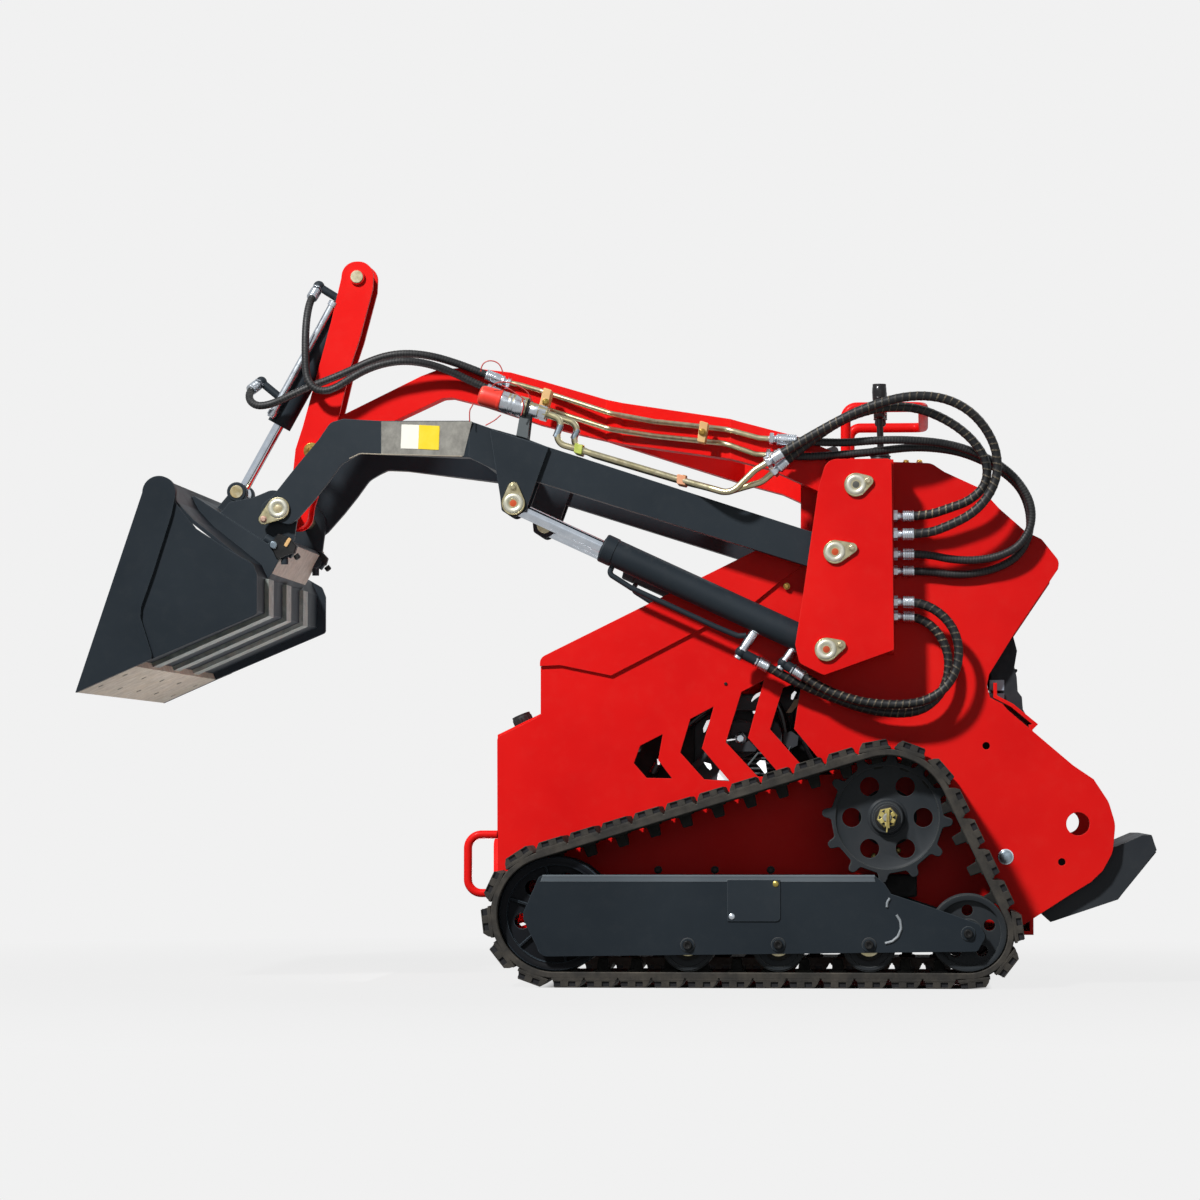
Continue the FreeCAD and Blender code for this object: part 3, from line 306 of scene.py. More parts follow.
M["strap"] = metal("worn_strap_painted_reflection", lin(150, 158, 154), lin(112, 120, 118), rough=0.5, metallic=0.2,
                   brush=(3, 1, 3), tint=lin(150, 148, 136))
M["mount"] = metal("mount_plate_painted_reflection", lin(176, 170, 160), lin(140, 134, 124), rough=0.5, metallic=0.2,
                   brush=(3, 1, 3), tint=lin(166, 156, 140))
# Paler brushed grey for an overlay on the boom arm's angled face: brushed streaks, and a painted sheen of the sky
# reflected there.
M["sheen_overlay"] = metal("brushed_painted_sheen", lin(156, 154, 146), lin(124, 122, 116), rough=0.5, metallic=0.15,
                     brush=(8, 8, 0.6), tint=lin(136, 134, 128))
M["blacksteel"] = metal("black_oxide", lin(40, 40, 40), lin(18, 18, 18), rough=0.45, metallic=0.6)
M["track"] = rubber("track_rubber", lin(44, 42, 39), lin(116, 108, 96), rough=0.8, dust=0.5)
# Near-black for the floors of the tread pockets: painted shade in the recesses.
M["pocket"] = plastic("pocket_painted_shade", lin(16, 16, 20), rough=0.8)
M["lug"] = rubber("track_lug", lin(22, 23, 22), lin(80, 74, 62), rough=0.85, dust=0.25)
M["hose"] = rubber("hose_rubber", lin(20, 21, 23), lin(54, 54, 54), rough=0.5, dust=0.2, grain=900, strength=0.06)
M["black"] = plastic("black_plastic", lin(26, 27, 29), rough=0.48)
M["gloss"] = plastic("black_gloss", lin(18, 18, 20), rough=0.25, strength=0.03)
M["pad"] = rubber("pad_foam", lin(30, 33, 38), lin(66, 68, 72), rough=0.8, dust=0.3, grain=260)
M["redcap"] = plastic("red_cap", lin(232, 58, 44), rough=0.42, light=lin(244, 84, 66))
M["label"] = plastic("blank_label", lin(236, 234, 222), rough=0.35, strength=0.04, light=lin(240, 238, 228))
M["label2"] = plastic("blank_plate", lin(168, 182, 198), rough=0.3, strength=0.04, light=lin(190, 202, 214))
M["tether"] = plastic("tether_wire", lin(186, 48, 44), rough=0.4, light=lin(206, 90, 84))
M["green"] = metal("clamp_green", lin(206, 216, 110), lin(160, 176, 70), rough=0.4, metallic=0.2)
M["bead"] = paint("weld_bead", lin(120, 128, 134), lin(80, 88, 94), lin(150, 156, 160), rough=0.35, coat=0.1,
                   dust=lin(150, 146, 138), edge=lin(180, 184, 186), peel=0.2)
# Paler grey for the track frame's top fold: it paints the highlight along that edge.
M["lip"] = paint("frame_lip_painted_highlight", lin(84, 92, 98), lin(74, 82, 88), lin(96, 104, 110), rough=0.45, coat=0.0,
                 dust=lin(120, 112, 100), edge=lin(120, 124, 126), spec=0.2)
M["seamlip"] = paint("sheared_edge", lin(140, 132, 118), lin(104, 98, 88), lin(160, 152, 136), rough=0.5, coat=0.0,
                     dust=lin(150, 140, 124), edge=lin(170, 162, 148), spec=0.2)
M["pinring"] = metal("pin_ring", lin(226, 224, 208), lin(190, 188, 172), rough=0.38, metallic=0.5, tint=lin(206, 206, 180))
M["pincore"] = paint("pin_core", lin(206, 84, 44), lin(160, 60, 34), lin(222, 110, 60), rough=0.5, coat=0.1,
                     dust=lin(150, 120, 80), edge=lin(220, 150, 110), peel=0.3)
M["pindark"] = paint("pin_grey", lin(124, 124, 116), lin(70, 70, 66), lin(160, 160, 150), rough=0.5, coat=0.0,
                     dust=lin(150, 140, 120), edge=lin(190, 190, 180), peel=0.3)
M["pincream"] = metal("pin_cream", lin(206, 198, 170), lin(150, 138, 100), rough=0.42, metallic=0.3, tint=lin(176, 150, 96))
M["pinkbolt"] = metal("bolt_copper", lin(206, 172, 154), lin(150, 112, 92), rough=0.42, metallic=0.4)
M["labely"] = plastic("blank_label_yellow", lin(236, 206, 44), rough=0.35, strength=0.04, light=lin(244, 216, 74))
M["clamp"] = plastic("clamp_tan", lin(214, 170, 112), rough=0.5, light=lin(226, 190, 136))
M["salmon"] = plastic("clamp_salmon", lin(222, 150, 110), rough=0.5, light=lin(232, 176, 140))
# Pale crest colours for the hose guards: partly dust, partly the painted highlight along each turn.
M["guard"] = rubber("spiral_guard_dust_highlight", lin(60, 56, 50), lin(186, 168, 136), rough=0.5, dust=0.85, grain=500, strength=0.06)
M["rib"] = rubber("hose_rib_dust_highlight", lin(34, 35, 36), lin(104, 102, 98), rough=0.5, dust=0.5, grain=500, strength=0.06)
# Near-black stand-in for deep shade: boxes and discs put inside the bay, behind holes and under the motor.
M["inside"] = plastic("interior_painted_shade", lin(10, 10, 11), rough=0.8)
M["engine"] = paint("engine_grey", lin(70, 72, 76), lin(40, 41, 43), lin(98, 100, 104), rough=0.5, coat=0.0,
                    dust=lin(110, 100, 90), edge=lin(150, 150, 150), peel=0.3)
# Glowing white patch material: its emission paints highlights and the bright light seen through gaps, though it is no
# lamp.
gl, gnt, gsh = new_material("glowing_painted_gap")
gsh.inputs["Base Color"].default_value = lin(236, 238, 240)
gsh.inputs["Emission Color"].default_value = lin(236, 240, 242)
gsh.inputs["Emission Strength"].default_value = 0.75
gn = Net(gnt)
gnt.links.new(gn.grey(gn.noise(80.0, 3.0, 0.5), 0.3, 0.7, 0.4, 0.6), gsh.inputs["Roughness"])
M["glint"] = gl

BY_NODE = {
    "red": ["side_plate_left", "side_plate_right", "hood", "console_cover", "nose_cover", "belly_plate", "tower_left", "tower_right",
            "link_front", "link_arm_left", "link_arm_right", "lever", "tie_down_loops", "hand_rails"],
    "dark": ["boom_arm_left", "boom_arm_right", "boom_cross_tube",
             "lift_barrel_left", "lift_barrel_right", "tilt_barrel", "quick_attach"],
    "dark3": ["track_frame_left", "track_frame_right", "bucket_shell", "bucket_sides"],
    "dark2": ["drive_sprockets", "track_rollers", "drive_motors"],
    "idler": ["front_idlers"],
    "platform": ["platform"],
    # the cutting edge and wear straps take pale greys that partly paint the ground's reflection
    "steel": ["cutting_edge"],
    "strap": ["wear_straps"],
    "track": ["track_left", "track_right"],
    "hose": [n for n in NODES if "_hose_" in n],
    "zinc": ["tower_pins", "boom_pins", "link_pipes", "boom_pipes"],
    "silver": ["hose_fittings", "platform_hinge"],
    "chrome": ["lift_rod_left", "lift_rod_right", "tilt_rod"],
    "pad": ["rear_pad"],
    "black": ["filler_cap", "control_levers"],
    "engine": ["engine_block"],
}
for key, names in BY_NODE.items():
    for nm in names:
        NODES[nm].data.materials.clear()
        NODES[nm].data.materials.append(M[key])


# ------------------------------------------------------------------ mesh helpers
class Mesh:
    """Collects faces, each with a material, and becomes one object."""

    def __init__(self, name):
        self.name, self.v, self.f, self.m, self.mats = name, [], [], [], []

    def mat(self, key):
        if key not in self.mats:
            self.mats.append(key)
        return self.mats.index(key)

    def add(self, verts, faces, key):
        k, base = self.mat(key), len(self.v)
        self.v += [Vector(p) for p in verts]
        for f in faces:
            self.f.append([base + i for i in f])
            self.m.append(k)

    def done(self, body=None, sharp=32.0, slot=None):
        me = bpy.data.meshes.new(self.name)
        me.from_pydata([tuple(p) for p in self.v], [], self.f)
        for k in self.mats:
            me.materials.append(M[k])
        me.polygons.foreach_set("material_index", self.m)
        bm = bmesh.new()
        bm.from_mesh(me)
        bmesh.ops.remove_doubles(bm, verts=bm.verts, dist=2e-6)
        bmesh.ops.recalc_face_normals(bm, faces=bm.faces)
        lim = math.radians(sharp)
        for e in bm.edges:
            if len(e.link_faces) == 2:
                e.smooth = e.calc_face_angle(0.0) < lim
            else:
                e.smooth = False
        for f in bm.faces:
            f.smooth = True
        bm.to_mesh(me)
        bm.free()
        o = bpy.data.objects.new(self.name, me)
        scene.collection.objects.link(o)
        if body:
            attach(o, body)
        return o


def basis(d):
    """Two unit vectors at right angles to d."""
    d = Vector(d).normalized()
    a = Vector((0, 0, 1)) if abs(d.z) < 0.9 else Vector((1, 0, 0))
    u = d.cross(a).normalized()
    return u, d.cross(u).normalized()


def lathe(ms, at, d, profile, key, seg=24, start=0.0, end=2 * math.pi, caps=True):
    """profile: (along mm, radius mm) pairs, revolved about the line from at (metres) along d."""
    d = Vector(d).normalized()
    u, w = basis(d)
    full = abs(end - start - 2 * math.pi) < 1e-6
    n = seg if full else seg + 1
    verts, faces = [], []
    for s, r in profile:
        for i in range(n):
            a = start + (end - start) * i / seg
            verts.append(at + d * (s / 1000) + (u * math.cos(a) + w * math.sin(a)) * (max(r, 1e-3) / 1000))
    for j in range(len(profile) - 1):
        for i in range(seg):
            k = (i + 1) % n
            faces.append((j * n + i, j * n + k, (j + 1) * n + k, (j + 1) * n + i))
    if full and caps:
        if profile[0][1] > 0.01:
            faces.append(tuple(range(n))[::-1])
        if profile[-1][1] > 0.01:
            faces.append(tuple((len(profile) - 1) * n + i for i in range(n)))
    ms.add(verts, faces, key)


def prism(ms, at, d, r, h, sides, key, phase=0.0, chamfer=0.0, taper=1.0):
    """A regular prism (hexagon head, nut) with chamfered top corners; sizes in mm."""
    d = Vector(d).normalized()
    u, w = basis(d)
    rings = [(0.0, r)]
    if chamfer:
        rings += [(h - chamfer, r * taper), (h, r * taper - chamfer * 1.2)]
    else:
        rings += [(h, r * taper)]
    verts, faces = [], []
    for s, q in rings:
        for i in range(sides):
            a = phase + 2 * math.pi * i / sides
            verts.append(at + d * (s / 1000) + (u * math.cos(a) + w * math.sin(a)) * (q / 1000))
    for j in range(len(rings) - 1):
        for i in range(sides):
            k = (i + 1) % sides
            faces.append((j * sides + i, j * sides + k, (j + 1) * sides + k, (j + 1) * sides + i))
    faces.append(tuple(range(sides))[::-1])
    faces.append(tuple((len(rings) - 1) * sides + i for i in range(sides)))
    ms.add(verts, faces, key)


def bolt(ms, at, d, r, key="zinc", washer=True, h=None, phase=0.3, socket=False):
    """Hexagon bolt head (or socket head) on a washer; r is half the width over flats in mm."""
    h = h or r * 0.75
    z = 0.0
    if washer:
        lathe(ms, at, d, [(0, r * 1.45), (1.2, r * 1.45), (1.5, r * 1.38), (1.5, 0)], key, 22)
        z = 1.5
    p = at + Vector(d).normalized() * (z / 1000)
    if socket:
        lathe(ms, p, d, [(0, r), (h * 0.8, r), (h, r * 0.88), (h, r * 0.56), (h * 0.45, r * 0.5), (h * 0.4, 0)], key, 20)
    else:
        prism(ms, p, d, r * 1.155, h, 6, key, phase, chamfer=h * 0.22)
        lathe(ms, p + Vector(d).normalized() * ((h - 0.05) / 1000), d, [(0, r * 0.82), (0.35, r * 0.8), (0.4, 0)], key, 18)


def dome(ms, at, d, r, h, key, seg=18):
    lathe(ms, at, d, [(0, r), (h * 0.45, r * 0.93), (h * 0.8, r * 0.66), (h * 0.96, r * 0.3), (h, 0)], key, seg)


def extrude(ms, pts, y0, y1, key, bevel=0.0, holes=None):
    """An XZ outline (layout mm) between two Y planes, with small bevelled rims on both faces."""
    def inset(pts, d):
        n, out = len(pts), []
        area = sum(pts[i][0] * pts[(i + 1) % n][1] - pts[(i + 1) % n][0] * pts[i][1] for i in range(n))
        s = 1.0 if area > 0 else -1.0
        for i in range(n):
            a, b, c = pts[i - 1], pts[i], pts[(i + 1) % n]
            d1 = Vector((b[0] - a[0], b[1] - a[1])).normalized()
            d2 = Vector((c[0] - b[0], c[1] - b[1])).normalized()
            n1, n2 = Vector((-d1.y, d1.x)) * s, Vector((-d2.y, d2.x)) * s
            k = (n1 + n2)
            k = k / max(0.35, k.length_squared / 2)
            out.append((b[0] + k.x * d, b[1] + k.y * d))
        return out
    lo, hi = min(y0, y1), max(y0, y1)
    rings = [(lo, inset(pts, bevel)), (lo + bevel, pts), (hi - bevel, pts), (hi, inset(pts, bevel))] if bevel else [(lo, pts), (hi, pts)]
    n = len(pts)
    verts, faces = [], []
    for y, q in rings:
        verts += [R(x, y, z) for x, z in q]
    for j in range(len(rings) - 1):
        for i in range(n):
            k = (i + 1) % n
            faces.append((j * n + i, j * n + k, (j + 1) * n + k, (j + 1) * n + i))
    faces.append(tuple(range(n)))
    faces.append(tuple((len(rings) - 1) * n + i for i in range(n))[::-1])
    ms.add(verts, faces, key)


def rounded(pts, r, steps=4):
    """An outline with its corners rounded; r is one radius or one per point."""
    out, n = [], len(pts)
    for i in range(n):
        a, b, c = Vector(pts[i - 1][:2]), Vector(pts[i][:2]), Vector(pts[(i + 1) % n][:2])
        rr = r if not isinstance(r, (list, tuple)) else r[i]
        u, w = (a - b).normalized(), (c - b).normalized()
        half = math.acos(max(-1, min(1, u.dot(w)))) / 2
        if rr <= 0 or half > math.radians(88):
            out.append((b.x, b.y))
            continue
        t = min(rr / math.tan(half), 0.48 * min((a - b).length, (c - b).length))
        rr = t * math.tan(half)
        cen = b + (u + w).normalized() * (rr / math.sin(half))
        p, q = b + u * t, b + w * t
        a0, a1 = math.atan2(p.y - cen.y, p.x - cen.x), math.atan2(q.y - cen.y, q.x - cen.x)
        da = (a1 - a0 + math.pi) % (2 * math.pi) - math.pi
        for k in range(steps + 1):
            g = a0 + da * k / steps
            out.append((cen.x + rr * math.cos(g), cen.y + rr * math.sin(g)))
    return out


def box_mesh(ms, lo, hi, key, bevel=1.5):
    """A box in layout mm with chamfered edges."""
    x0, y0, z0 = lo
    x1, y1, z1 = hi
    b = bevel
    extrude(ms, [(x0 + b, z0), (x1 - b, z0), (x1, z0 + b), (x1, z1 - b), (x1 - b, z1), (x0 + b, z1), (x0, z1 - b), (x0, z0 + b)], y0, y1, key, bevel=b)


def frames(path):
    """Tangents and turning-free normals along a line of points."""
    P = [Vector(p) for p in path]
    T = []
    for i in range(len(P)):
        a, b = P[max(0, i - 1)], P[min(len(P) - 1, i + 1)]
        T.append((b - a).normalized())
    u, _ = basis(T[0])
    U = [u]
    for i in range(1, len(P)):
        ax = T[i - 1].cross(T[i])
        if ax.length > 1e-9:
            ang = math.atan2(ax.length, T[i - 1].dot(T[i]))
            u = Matrix.Rotation(ang, 3, ax.normalized()) @ u
        u = (u - T[i] * u.dot(T[i])).normalized()
        U.append(u)
    return P, T, U


def sweep(ms, path, r, key, seg=14, cap=True, radius=None):
    """A round tube along path (metres); radius(s, angle) in mm may replace r."""
    P, T, U = frames(path)
    verts, faces, s = [], [], 0.0
    for i, (p, t, u) in enumerate(zip(P, T, U)):
        if i:
            s += (P[i] - P[i - 1]).length * 1000
        w = t.cross(u)
        for k in range(seg):
            a = 2 * math.pi * k / seg
            q = radius(s, a) if radius else r
            verts.append(p + (u * math.cos(a) + w * math.sin(a)) * (q / 1000))
    for j in range(len(P) - 1):
        for k in range(seg):
            n = (k + 1) % seg
            faces.append((j * seg + k, j * seg + n, (j + 1) * seg + n, (j + 1) * seg + k))
    if cap:
        faces.append(tuple(range(seg))[::-1])
        faces.append(tuple((len(P) - 1) * seg + k for k in range(seg)))
    ms.add(verts, faces, key)


def resample(path, step):
    """Evenly spaced points on a line of points; step in metres."""
    P = np.array([list(p) for p in path])
    d = np.r_[0, np.cumsum(np.linalg.norm(np.diff(P, axis=0), axis=1))]
    n = max(2, int(round(d[-1] / step)) + 1)
    t = np.linspace(0, d[-1], n)
    return [Vector(q) for q in np.stack([np.interp(t, d, P[:, k]) for k in range(3)], 1)], float(d[-1])


# ------------------------------------------------------------------ hoses
H = {
    "aux_hose_outer": [(330, -460, 1126), (374, -460, 1153), (419, -460, 1179), (464, -460, 1204), (510, -459, 1227),
        (559, -459, 1245), (609, -457, 1258), (660, -450, 1261), (709, -441, 1252), (753, -431, 1228), (787, -420, 1190),
        (808, -410, 1144), (810, -406, 1093), (790, -405, 1046), (754, -405, 1009), (708, -405, 986), (658, -404, 967),
        (607, -404, 967)],
    "aux_hose_inner": [(341, -436, 1109), (378, -436, 1141), (417, -435, 1171), (457, -435, 1199), (500, -434, 1221),
        (547, -432, 1235), (595, -426, 1241), (643, -416, 1236), (688, -408, 1219), (730, -401, 1194), (765, -393, 1161),
        (789, -386, 1119), (785, -383, 1072), (750, -382, 1039), (704, -382, 1023), (655, -381, 1007), (607, -381, 1007)],
    "link_hose_upper": [(338, -412.5, 1172), (388, -412, 1168), (439, -412, 1165), (490, -412.5, 1164), (540, -413, 1168),
        (590, -410, 1170), (639, -397, 1169), (687, -377, 1166), (735, -366, 1156), (782, -360, 1137), (826, -358, 1112),
        (861, -358, 1076), (884, -358, 1031), (882, -358, 981), (854, -358, 940), (808, -358, 919), (758, -358, 912),
        (707, -358, 915), (657, -358, 927), (607, -358, 927)],
    "link_hose_lower": [(331, -412.5, 1138), (383, -412, 1135), (434, -412.5, 1135), (486, -412, 1139), (535, -407, 1143),
        (584, -391, 1151), (632, -368, 1157), (682, -348, 1156), (732, -337, 1148), (780, -335, 1129), (825, -335, 1104),
        (862, -335, 1068), (880, -335, 1020), (880, -335, 969), (856, -335, 923), (812, -335, 897), (762, -335, 885),
        (710, -335, 883), (659, -335, 891), (607, -335, 891)],
    "lift_hose_inner": [(296, -373, 694), (331, -370, 675), (367, -366, 655), (404, -362, 638), (442, -361, 622),
        (482, -361, 606), (523, -361, 593), (565, -361, 585), (612, -361, 583), (650, -361, 592), (682, -361, 618),
        (701, -361, 656), (705, -361, 700), (693, -361, 741), (667, -361, 774), (632, -361, 792), (607, -361, 792)],
    "lift_hose_outer": [(374, -380, 675), (406, -386, 654), (441, -389, 634), (480, -390, 618), (522, -390, 607),
        (566, -390, 602), (614, -390, 602), (660, -390, 611), (699, -390, 638), (722, -390, 679), (727, -390, 725),
        (713, -390, 769), (681, -390, 803), (638, -390, 822), (607, -390, 822)],
    "tilt_hose_upper": [(-292, -38, 1339), (-328, -41, 1353), (-365, -44, 1368), (-401, -49, 1381), (-438, -57, 1392),
        (-476, -63, 1399), (-515, -67, 1401), (-554, -67, 1396), (-591, -67, 1384), (-627, -67, 1367),
        (-662, -66, 1352), (-698, -66, 1338), (-733, -66, 1325.5), (-768, -67, 1309), (-798, -68, 1295),
        (-824, -68, 1286), (-848, -63, 1285), (-865, -51, 1296), (-871, -36, 1312), (-867, -21, 1327),
        (-857, -8, 1337)],
    "tilt_hose_lower": [(-292, -38, 1306), (-328, -43, 1323), (-365, -48, 1339), (-400, -56, 1356), (-436, -69, 1370),
        (-473, -80, 1379), (-513, -89, 1382), (-552, -91, 1377), (-591, -92, 1365), (-627, -92, 1346),
        (-650, -92, 1331), (-668, -91, 1321), (-687, -90, 1315), (-706, -91, 1317), (-721, -90, 1328),
        (-730, -87, 1344), (-734, -83, 1363), (-736, -79, 1400), (-737, -71, 1438), (-737, -60, 1473),
        (-735, -45, 1505), (-731, -28, 1530), (-722, -12, 1550)],
}
HOSES = [  # piece, route, mirrored, body at the route's far end, body at its start, length in metres
    ("aux_hose_outer", "aux_hose_outer", False, "chassis", "boom", 0.873),
    ("aux_hose_inner", "aux_hose_inner", False, "chassis", "boom", 0.776),
    ("link_hose_upper", "link_hose_upper", False, "chassis", "level_link", 0.956),
    ("link_hose_lower", "link_hose_lower", False, "chassis", "level_link", 0.978),
    ("lift_hose_inner_left", "lift_hose_inner", False, "chassis", "lift_barrel_left", 0.652),
    ("lift_hose_outer_left", "lift_hose_outer", False, "chassis", "lift_barrel_left", 0.611),
    ("lift_hose_inner_right", "lift_hose_inner", True, "chassis", "lift_barrel_right", 0.652),
    ("lift_hose_outer_right", "lift_hose_outer", True, "chassis", "lift_barrel_right", 0.611),
    ("tilt_hose_upper", "tilt_hose_upper", False, "level_link", "level_link", 0.675),
    ("tilt_hose_lower", "tilt_hose_lower", False, "level_link", "level_link", 0.711),
]


def nurbs_line(name, pts):
    """Points read from the NURBS spline that the route's points control."""
    cu = bpy.data.curves.new(name, "CURVE")
    cu.dimensions = "3D"
    cu.resolution_u = 16
    sp = cu.splines.new("NURBS")
    sp.points.add(len(pts) - 1)
    for p, q in zip(sp.points, pts):
        p.co = (*R(*q), 1.0)
    sp.order_u = 3
    sp.use_endpoint_u = True
    o = bpy.data.objects.new(name, cu)
    scene.collection.objects.link(o)
    bpy.context.view_layer.update()
    me = bpy.data.meshes.new_from_object(o.evaluated_get(bpy.context.evaluated_depsgraph_get()))
    out = [v.co.copy() for v in me.vertices]
    bpy.data.objects.remove(o)
    bpy.data.curves.remove(cu)
    bpy.data.meshes.remove(me)
    return out


def guarded(ms, path, base, rib, pitch, wide, key, seg=18):
    """A hose in its spiral guard: a flat helical band round a black tube, its crests pale with dust and a painted
    highlight.
    """
    P, T, U = frames(path)
    verts, faces, s, at = [], [], 0.0, []
    for i, (p, t, u) in enumerate(zip(P, T, U)):
        if i:
            s += (P[i] - P[i - 1]).length * 1000
        at.append(s)
        w = t.cross(u)
        for k in range(seg):
            a = 2 * math.pi * k / seg
            ph = (s / pitch + k / seg) % 1.0
            q = base + rib * max(0.0, min(1.0, (wide - abs(ph - 0.5)) * 8.0 + 0.6))
            verts.append(p + (u * math.cos(a) + w * math.sin(a)) * (q / 1000))
    v0 = len(ms.v)
    ms.v += verts
    k_hose, k_band = ms.mat("hose"), ms.mat(key)
    for j in range(len(P) - 1):
        for k in range(seg):
            n = (k + 1) % seg
            ph = (((at[j] + at[j + 1]) / 2) / pitch + (k + 0.5) / seg) % 1.0
            ms.f.append([v0 + j * seg + k, v0 + j * seg + n, v0 + (j + 1) * seg + n, v0 + (j + 1) * seg + k])
            ms.m.append(k_band if abs(ph - 0.5) < wide else k_hose)
    ms.f.append([v0 + k for k in range(seg)][::-1])
    ms.m.append(k_hose)
    ms.f.append([v0 + (len(P) - 1) * seg + k for k in range(seg)])
    ms.m.append(k_hose)


LINES = {}
for piece, route, flip, far, near, real in HOSES:
    pts = [(x, -y if flip else y, z) for x, y, z in H[route]]
    line, length = resample(nurbs_line("line", pts), 0.0018)
    LINES[piece] = line
    print("hose", piece, "line", round(length, 3), "tube", real)
    ms = Mesh(piece + "_hose")
    if "link" in piece or "tilt" in piece:
        guarded(ms, line, 8.5, 0.35, 6.4, 0.22, "rib")
    else:
        guarded(ms, line, 9.7, 0.55, 15.0, 0.09, "guard")
    o = ms.done(sharp=70)
    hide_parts(piece)
    path = [list(p) for p in line[::6]] + [list(line[-1])]
    if far == "chassis":
        path = path[::-1]
    if far == "chassis":
        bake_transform(o)
    else:
        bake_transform(o)


# ------------------------------------------------------------------ shared pieces
def rod(ms, x, z, r, y0, y1, key, seg=28, chamfer=0.8, bore=0.0):
    """A pin or disc along Y between two planes (layout mm) with chamfered rims."""
    lo, hi = min(y0, y1), max(y0, y1)
    L, c = hi - lo, chamfer
    prof = [(0, r - c), (c, r), (L - c, r), (L, r - c)]
    prof = [(0, bore)] + prof + [(L, bore)]
    lathe(ms, R(x, lo, z), (0, 1, 0), prof, key, seg, caps=bore < 0.5)
    if bore > 0.5:
        lathe(ms, R(x, lo, z), (0, 1, 0), [(0, bore), (L, bore)], key, seg, caps=False)


def carve(o, cutters):
    """Cuts the cutter objects out of o and leaves a plain mesh."""
    for c in cutters:
        b = o.modifiers.new("cut", "BOOLEAN")
        b.operation, b.solver, b.object = "DIFFERENCE", "EXACT", c
    bpy.context.view_layer.update()
    me = bpy.data.meshes.new_from_object(o.evaluated_get(bpy.context.evaluated_depsgraph_get()))
    o.modifiers.clear()
    o.data = me
    for c in cutters:
        bpy.data.objects.remove(c)
    return o


def plain(name, build):
    ms = Mesh(name)
    build(ms)
    me = bpy.data.meshes.new(name)
    me.from_pydata([tuple(p) for p in ms.v], [], ms.f)
    for k in ms.mats:
        me.materials.append(M[k])
    me.polygons.foreach_set("material_index", ms.m)
    bm = bmesh.new()
    bm.from_mesh(me)
    bmesh.ops.remove_doubles(bm, verts=bm.verts, dist=2e-6)
    bmesh.ops.recalc_face_normals(bm, faces=bm.faces)
    bm.to_mesh(me)
    bm.free()
    o = bpy.data.objects.new(name, me)
    scene.collection.objects.link(o)
    return o


def shade(o, sharp=32.0):
    bm = bmesh.new()
    bm.from_mesh(o.data)
    bmesh.ops.remove_doubles(bm, verts=bm.verts, dist=5e-6)
    lim = math.radians(sharp)
    for e in bm.edges:
        e.smooth = len(e.link_faces) == 2 and e.calc_face_angle(0.0) < lim
    for f in bm.faces:
        f.smooth = True
    bm.to_mesh(o.data)
    bm.free()


# ------------------------------------------------------------------ tracks
IDLER, SPROCKET, REAR = (-134.0, 155.0, 122.0), (572.0, 360.0, 131.5), (742.0, 116.0, 83.0)
BELT, TREAD, TREADS = 14.0, 19.0, 37


def loop_arcs(circles, grow):
    """The arcs of a belt round circles taken counter-clockwise (x, z, r)."""
    n, outs = len(circles), []
    for i in range(n):
        x1, z1, r1 = circles[i]
        x2, z2, r2 = circles[(i + 1) % n]
        d = math.hypot(x2 - x1, z2 - z1)
        base = math.atan2(z2 - z1, x2 - x1)
        outs.append(base - math.acos((r1 - r2) / d))
    arcs = []
    for i in range(n):
        x, z, r = circles[i]
        a0, a1 = outs[i - 1], outs[i]
        while a1 < a0:
            a1 += 2 * math.pi
        arcs.append((x, z, r + grow, a0, a1))
    return arcs


def belt_places(arcs, step=None, count=None, offset=0.5):
    """(x, z, outward angle) along the belt loop."""
    runs, n = [], len(arcs)
    for i in range(n):
        x, z, r, a0, a1 = arcs[i]
        runs.append(("arc", x, z, r, a0, a1, r * (a1 - a0)))
        x2, z2, r2, b0, _ = arcs[(i + 1) % n]
        p = (x + r * math.cos(a1), z + r * math.sin(a1))
        q = (x2 + r2 * math.cos(b0), z2 + r2 * math.sin(b0))
        runs.append(("line", p, q, a1, math.hypot(q[0] - p[0], q[1] - p[1])))
    total = sum(k[-1] for k in runs)
    count = count or int(total / step)
    out = []
    for i in range(count):
        s = (i + offset) * total / count
        for k in runs:
            if s <= k[-1]:
                break
            s -= k[-1]
        if k[0] == "arc":
            a = k[4] + s / k[3]
            out.append((k[1] + k[3] * math.cos(a), k[2] + k[3] * math.sin(a), a))
        else:
            f = s / k[4]
            out.append((k[1][0] + (k[2][0] - k[1][0]) * f, k[1][1] + (k[2][1] - k[1][1]) * f, k[3]))
    return out


CIRCLES = [IDLER, REAR, SPROCKET]
MIDDLE = loop_arcs(CIRCLES, BELT / 2)
TREAD_AT = belt_places(MIDDLE, count=TREADS)


